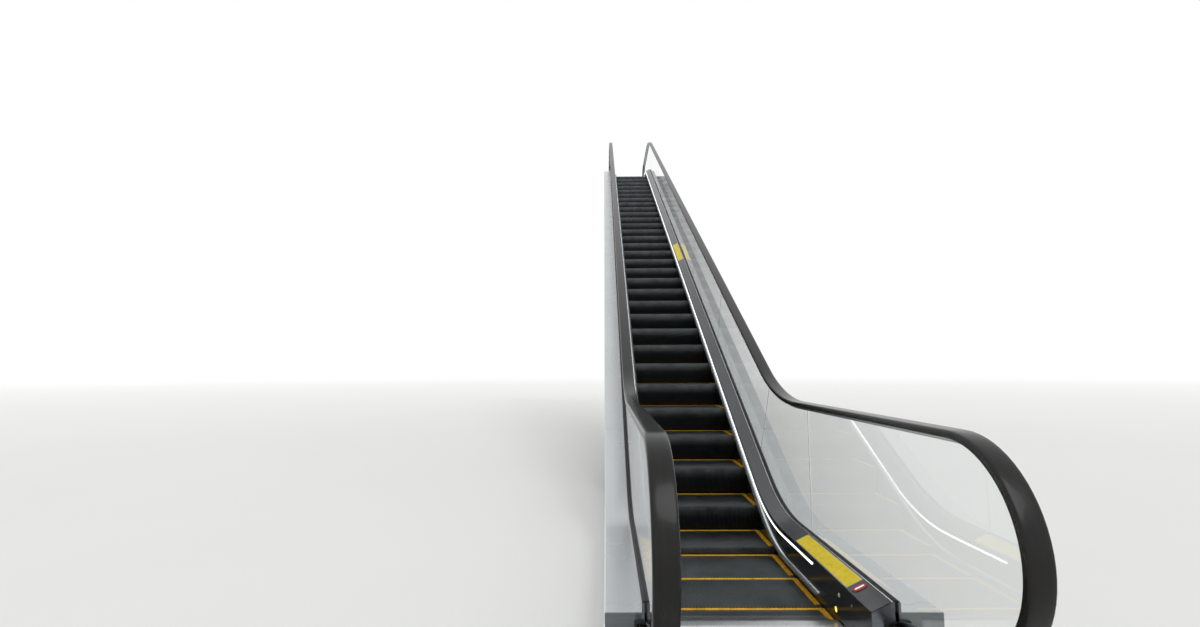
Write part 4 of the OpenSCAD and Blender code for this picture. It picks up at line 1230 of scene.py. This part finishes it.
def comb_lamp_pieces():
    """Round yellow lamps and dimmer sensors in the skirts beside both combs; the sensor lenses have a faint
    painted glow.
    """
    rims, yellow, dark = Shell(), Shell(), Shell()
    for _, side in SIDES:
        for upper in (False, True):
            for y, z, r, target in ((COMB_LAMP_Y, COMB_LAMP_Z, COMB_LAMP_R, yellow),
                                    (SENSOR_Y, SENSOR_Z, SENSOR_R, dark)):
                place = skirt_place(side, upper, y, z)
                clear = r - 0.0015
                rim = (r, 0), (r, 0.0012), (r - 0.0006, 0.002), (clear + 0.0002, 0.002), (clear, 0.0008)
                rims.dome(place, rim)
                target.dome(place, ((clear, 0), (clear, 0.0012), (r * 0.5, 0.0017), (r * 0.2, 0.0019)))
    make_piece("comb_lamp_rims", rims, BRIGHT_ALLOY)
    make_piece("comb_lamp_lenses", yellow, YELLOW_LENS, ("comb_lamps",))
    make_piece("sensor_lenses", dark, GLOWING_SENSOR_LENS)


LOW_STRIP = (-0.12, 0.58)
HIGH_STRIP = (5.55, 6.2)
TOP_STRIP = (UP_COMB_Y - LOW_STRIP[1], UP_COMB_Y - LOW_STRIP[0])
STRIP_T = 0.0006
STRIP_EDGE = 0.004
STRIP_SINK = 0.0001


def strip_section(edge, lift):
    """A thin band on the inner deck, set in from both of its edges."""
    rise = math.tan(DECK_TILT)
    x0, x1 = SKIRT_X + edge, CLAMP_X0 - edge
    h0, h1 = (SHEET_T + (x - SKIRT_X) * rise + lift - STRIP_SINK for x in (x0, x1))
    return [(x0, h0), (x1, h1), (x1, h1 + STRIP_T), (x0, h0 + STRIP_T)]


def deck_strips():
    """Plain yellow strips with a grey border, stuck on the inner decks."""
    yellow, border = Shell(), Shell()
    for _, side in SIDES:
        for y0, y1 in (LOW_STRIP, HIGH_STRIP, TOP_STRIP):
            inside = DECKS.stations(y0 + STRIP_MARGIN, y1 - STRIP_MARGIN)
            border.sweep(DECKS.stations(y0, y1), strip_section(STRIP_EDGE, 0), side)
            yellow.sweep(inside, strip_section(2 * STRIP_EDGE, STRIP_T), side)
    make_piece("deck_strip_borders", border, GUIDE_STEEL)
    make_piece("deck_strips", yellow, STRIP_YELLOW)


travel_lamps()
comb_lamp_pieces()
deck_strips()


# Cladding panels, soffit panels and screws

PANEL_L = 1.18
PANEL_JOINT = 0.004
SKIRT_PART = 1.62
SCREW_H = 0.0015
SCREW_INSET = 0.03
SCREW_ROW = 0.45
SOFFIT_SCREWS = 5
COMB_SCREWS = 8
COMB_SCREW_PITCH = 0.1
STRAP_W = 0.0024
SKIRT_SCREW_Y = -0.178
SKIRT_SCREW_Z = 0.140


def clad_top(y):
    """Height of the upper edge of the side cladding."""
    if y >= DECK_Y1:
        return UP_FLOOR + PLATE_Z
    station = DECKS.at(y)
    return station[1] - DECK_EDGE / math.cos(station[2])


def clad_foot(y):
    """Height of the lower edge of the side cladding."""
    return min(max(0.0, (y - SOFFIT_Y) * math.tan(INCLINE)), UP_FLOOR - TRUSS_H)


def cladding_joints():
    """Places of the upright joints between the cladding panels."""
    count = round((FLIGHT_Y1 - DECK_Y0) / PANEL_L)
    step = (FLIGHT_Y1 - DECK_Y0) / count
    return [DECK_Y0 + k * step for k in range(count + 1)]


def cladding_panels():
    """Side cladding as separate sheets with fine upright joints."""
    joints = cladding_joints()
    corners = [DECKS.bend_start, DECKS.slope_start, DECKS.slope_end, DECKS.bend_end]
    corners += [DECK_Y1 - 0.0001, DECK_Y1, SOFFIT_Y, SOFFIT_TOP_Y]
    corners += [s[0] for s in DECKS.stations(DECK_Y0, DECK_Y1)]
    for name, side in SIDES:
        out = LEFT_OUT if side < 0 else RIGHT_OUT
        shell = Shell()
        for a, b in zip(joints, joints[1:]):
            y0, y1 = a + PANEL_JOINT / 2, b - PANEL_JOINT / 2
            inside = sorted({y for y in corners if y0 + 0.001 < y < y1 - 0.001})
            ys = [y0] + inside + [y1]
            outline = [(y, clad_foot(y)) for y in ys] + [(y, clad_top(y)) for y in reversed(ys)]
            x0, x1 = sorted((side * (out - SHEET_T - SCREW_H), side * (out - SCREW_H)))
            shell.prism(outline, x0, x1)
        title = "side_panels_" + name
        make_piece(title, shell, CLADDING_STEEL, ("side_cladding_" + name,))


def soffit_runs(inset):
    """Both ends, as y and z, of each soffit panel on the slope, drawn in by an inset."""
    slope_l = (SOFFIT_TOP_Y - SOFFIT_Y) / math.cos(INCLINE)
    count = round(slope_l / PANEL_L)
    ends = [(slope_l * k / count + inset, slope_l * (k + 1) / count - inset) for k in range(count)]
    return [[(SOFFIT_Y + d * math.cos(INCLINE), d * math.sin(INCLINE)) for d in pair] for pair in ends]


def soffit_panels():
    """Soffit sheets on their battens, with fine joints across the flight."""
    shell = Shell()
    x0, x1 = -LEFT_OUT + SHEET_T, RIGHT_OUT - SHEET_T
    z = UP_FLOOR - TRUSS_H
    truss_y1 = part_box("soffit_cladding")[1].y
    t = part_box("soffit_cladding")[1].z - z
    for low in soffit_runs(PANEL_JOINT / 2):
        shell.prism(low + [(y, foot + t) for y, foot in reversed(low)], x0, x1)
    middle = (SOFFIT_TOP_Y + truss_y1) / 2
    for y0, y1 in ((SOFFIT_TOP_Y, middle - PANEL_JOINT / 2), (middle, truss_y1)):
        shell.bar(y0 + PANEL_JOINT / 2, y1, z, z + t, x0, x1)
    make_piece("soffit_panels", shell, SOFFIT_STEEL, ("soffit_cladding",))


def skirt_joints():
    """Slim butt straps between the lengths of the skirts."""
    shell = Shell()
    count = round(UP_COMB_Y / SKIRT_PART)
    for k in range(1, count):
        y = UP_COMB_Y * k / count
        low = BRUSHES.at(y)[1] + 0.017
        high = DECKS.at(y)[1] - 0.036
        for _, side in SIDES:
            x0, x1 = sorted((side * SKIRT_X, side * (SKIRT_X - 0.0008)))
            shell.bar(y - STRAP_W / 2, y + STRAP_W / 2, low, high, x0, x1)
    make_piece("skirt_joint_straps", shell, SCREW_STEEL)


def screw_pattern():
    """A low round screw head with a hexagon socket."""
    shell = Shell()
    rings = ((0.0055, -0.0005), (0.0055, 0.0006), (0.0042, 0.0014), (0.0024, SCREW_H), (0.0022, 0.0006))
    shell.dome(Matrix.Identity(4), rings, 12)
    return shell.mesh("screw")


def screw_places():
    """Points and turns of the screws on the side panels, soffit, comb plates and skirts."""
    found = []
    joints = cladding_joints()
    for _, side in SIDES:
        out = LEFT_OUT if side < 0 else RIGHT_OUT
        turn = (0, side * math.pi / 2, 0)
        for a, b in zip(joints, joints[1:]):
            for y in (a + SCREW_INSET, b - SCREW_INSET):
                low, high = clad_foot(y) + SCREW_INSET + 0.02, clad_top(y) - SCREW_INSET
                rows = max(1, round((high - low) / SCREW_ROW))
                heights = [low + (high - low) * k / rows for k in range(rows + 1)]
                found += [((side * (out - SCREW_H), y, z), turn) for z in heights]
    edge = 0.05
    width = LEFT_OUT + RIGHT_OUT - 2 * edge
    for y, z in sum(soffit_runs(SCREW_INSET), []):
        xs = [edge - LEFT_OUT + width * k / (SOFFIT_SCREWS - 1) for k in range(SOFFIT_SCREWS)]
        found += [((x, y, z), (math.pi + INCLINE, 0, 0)) for x in xs]
    for upper in (False, True):
        xs = [(k - (COMB_SCREWS - 1) / 2) * COMB_SCREW_PITCH for k in range(COMB_SCREWS)]
        found += [((x, *at_landing(upper, -0.068, FLOOR_UP)), (0, 0, 0)) for x in xs]
        for _, side in SIDES:
            place = (side * SKIRT_X, *at_landing(upper, SKIRT_SCREW_Y, SKIRT_SCREW_Z))
            found.append((place, (0, -side * math.pi / 2, 0)))
    return found


def screws():
    """All screws, set by the fastener tree."""
    found = screw_places()
    head = add_object("screw_pattern", screw_pattern())
    places = point_mesh("screws", [p for p, _ in found], [t for _, t in found])
    grow("panel_screws", places, FASTENERS, {"Screw": head, "Finish": SCREW_STEEL})
    bpy.data.objects.remove(head)


cladding_panels()
soffit_panels()
skirt_joints()
screws()


# Stage, light and camera

FLOOR_Z = FRAME_H + FLOOR_UP - 0.001
FLOOR_SIZE = 300.0
# Distances over which the floor fades into the backdrop
FADE_NEAR = 8.0
FADE_FAR = 60.0
FLOOR_PLAY = 0.003
HOLE_Y1 = SOFFIT_Y + (FRAME_H + FLOOR_UP) / math.tan(INCLINE) + 0.02
FLOOR_COLOUR = (0.84, 0.84, 0.83)
LIGHT_LEVEL = 0.72
SUN_LEVEL = 1.0


def backdrop_level(look):
    """Strength of the backdrop: white to see, in gloss and through glass, and plain as a light."""
    rays = look.node("ShaderNodeLightPath")
    first = look.node("ShaderNodeMath", operation="MAXIMUM")
    second = look.node("ShaderNodeMath", operation="MAXIMUM")
    level = look.node("ShaderNodeMapRange")
    look.links.new(rays.outputs["Is Camera Ray"], first.inputs[0])
    look.links.new(rays.outputs["Is Glossy Ray"], first.inputs[1])
    look.links.new(first.outputs[0], second.inputs[0])
    look.links.new(rays.outputs["Is Transmission Ray"], second.inputs[1])
    look.links.new(second.outputs[0], level.inputs["Value"])
    level.inputs["To Min"].default_value = LIGHT_LEVEL
    level.inputs["To Max"].default_value = 1.0
    return level.outputs["Result"]


def fade_to_backdrop(look):
    """Lets a floor pass softly into the white backdrop, far from the object."""
    place = look.place("Object", (1, 1, 0))
    distance = look.node("ShaderNodeVectorMath", operation="LENGTH")
    glow = look.node("ShaderNodeEmission")
    mix = look.node("ShaderNodeMixShader")
    look.links.new(place, distance.inputs[0])
    look.links.new(backdrop_level(look), glow.inputs["Strength"])
    look.links.new(look.span(distance.outputs["Value"], 0.0, 1.0, FADE_NEAR, FADE_FAR), mix.inputs["Fac"])
    look.links.new(look.shader.outputs["BSDF"], mix.inputs[1])
    look.links.new(glow.outputs["Emission"], mix.inputs[2])
    look.links.new(mix.outputs["Shader"], look.nodes["Material Output"].inputs["Surface"])


def stage_floor():
    """A plain pale floor at the lower landing, with a hole that the escalator stands in."""
    x0, x1 = -LEFT_OUT - FLOOR_PLAY, RIGHT_OUT + FLOOR_PLAY
    y0, y1 = -PLATE_RUN - FLOOR_PLAY, HOLE_Y1
    xs = [-FLOOR_SIZE, x0, x1, FLOOR_SIZE]
    ys = [-FLOOR_SIZE, y0, y1, FLOOR_SIZE]
    verts = [(x, y, FLOOR_Z) for y in ys for x in xs]
    faces = []
    for row in range(3):
        for column in range(3):
            if (row, column) != (1, 1):
                k = row * 4 + column
                faces.append((k, k + 1, k + 5, k + 4))
    mesh = bpy.data.meshes.new("stage_floor")
    mesh.from_pydata(verts, [], faces)
    look = Finish("stage_floor", Specular_IOR_Level=0.2)
    soft = look.noise(look.place(), 0.4, 2.0)
    look.set("Base Color", look.ramp(soft, (0.3, tint(FLOOR_COLOUR, 0.985)), (0.7, FLOOR_COLOUR)))
    look.set("Roughness", look.span(soft, 0.75, 0.8))
    fade_to_backdrop(look)
    mesh.materials.append(look.material)
    add_object("stage_floor", mesh)


def studio_world():
    """Even pale light, with a white background for the camera, for gloss and through glass."""
    world = bpy.data.worlds.new("studio")
    bpy.context.scene.world = world
    world.use_nodes = True
    look = NodeSet(world.node_tree)
    back = look.nodes["Background"]
    back.inputs["Color"].default_value = (1, 1, 1, 1)
    look.links.new(backdrop_level(look), back.inputs["Strength"])


def studio_sun():
    """One wide soft lamp from above and in front."""
    lamp = bpy.data.lights.new("soft_sun", "SUN")
    lamp.energy = SUN_LEVEL
    lamp.angle = math.radians(40)
    thing = bpy.data.objects.new("soft_sun", lamp)
    thing.rotation_euler = (math.radians(38), math.radians(18), 0)
    bpy.context.scene.collection.objects.link(thing)


# The camera, found from the steps, decks and handrails in the photograph
IMAGE_W = 1200
FOCAL_PX = 571.2
SENSOR_W = 36.0
CAMERA_PLACE = (-0.6745, -2.815, 1.314)
CAMERA_PITCH = math.radians(5.336)
CAMERA_YAW = math.radians(-0.540)
CAMERA_ROLL = math.radians(-0.265)


def studio_camera():
    """The camera at the photograph's place, with its pitch, yaw and roll."""
    camera = bpy.data.cameras.new("view")
    camera.sensor_width = SENSOR_W
    camera.sensor_fit = "HORIZONTAL"
    camera.lens = FOCAL_PX * SENSOR_W / IMAGE_W
    forward = Vector((math.sin(CAMERA_YAW) * math.cos(CAMERA_PITCH),
                      math.cos(CAMERA_YAW) * math.cos(CAMERA_PITCH), math.sin(CAMERA_PITCH)))
    right = Vector((math.cos(CAMERA_YAW), -math.sin(CAMERA_YAW), 0))
    up = right.cross(forward)
    x_axis = math.cos(CAMERA_ROLL) * right + math.sin(CAMERA_ROLL) * up
    y_axis = -math.sin(CAMERA_ROLL) * right + math.cos(CAMERA_ROLL) * up
    matrix = Matrix((x_axis, y_axis, -forward)).transposed().to_4x4()
    matrix.translation = CAMERA_PLACE
    thing = bpy.data.objects.new("view", camera)
    thing.matrix_world = matrix
    bpy.context.scene.collection.objects.link(thing)
    bpy.context.scene.camera = thing


stage_floor()
studio_world()
studio_sun()
studio_camera()
bpy.context.scene.view_settings.view_transform = "Standard"
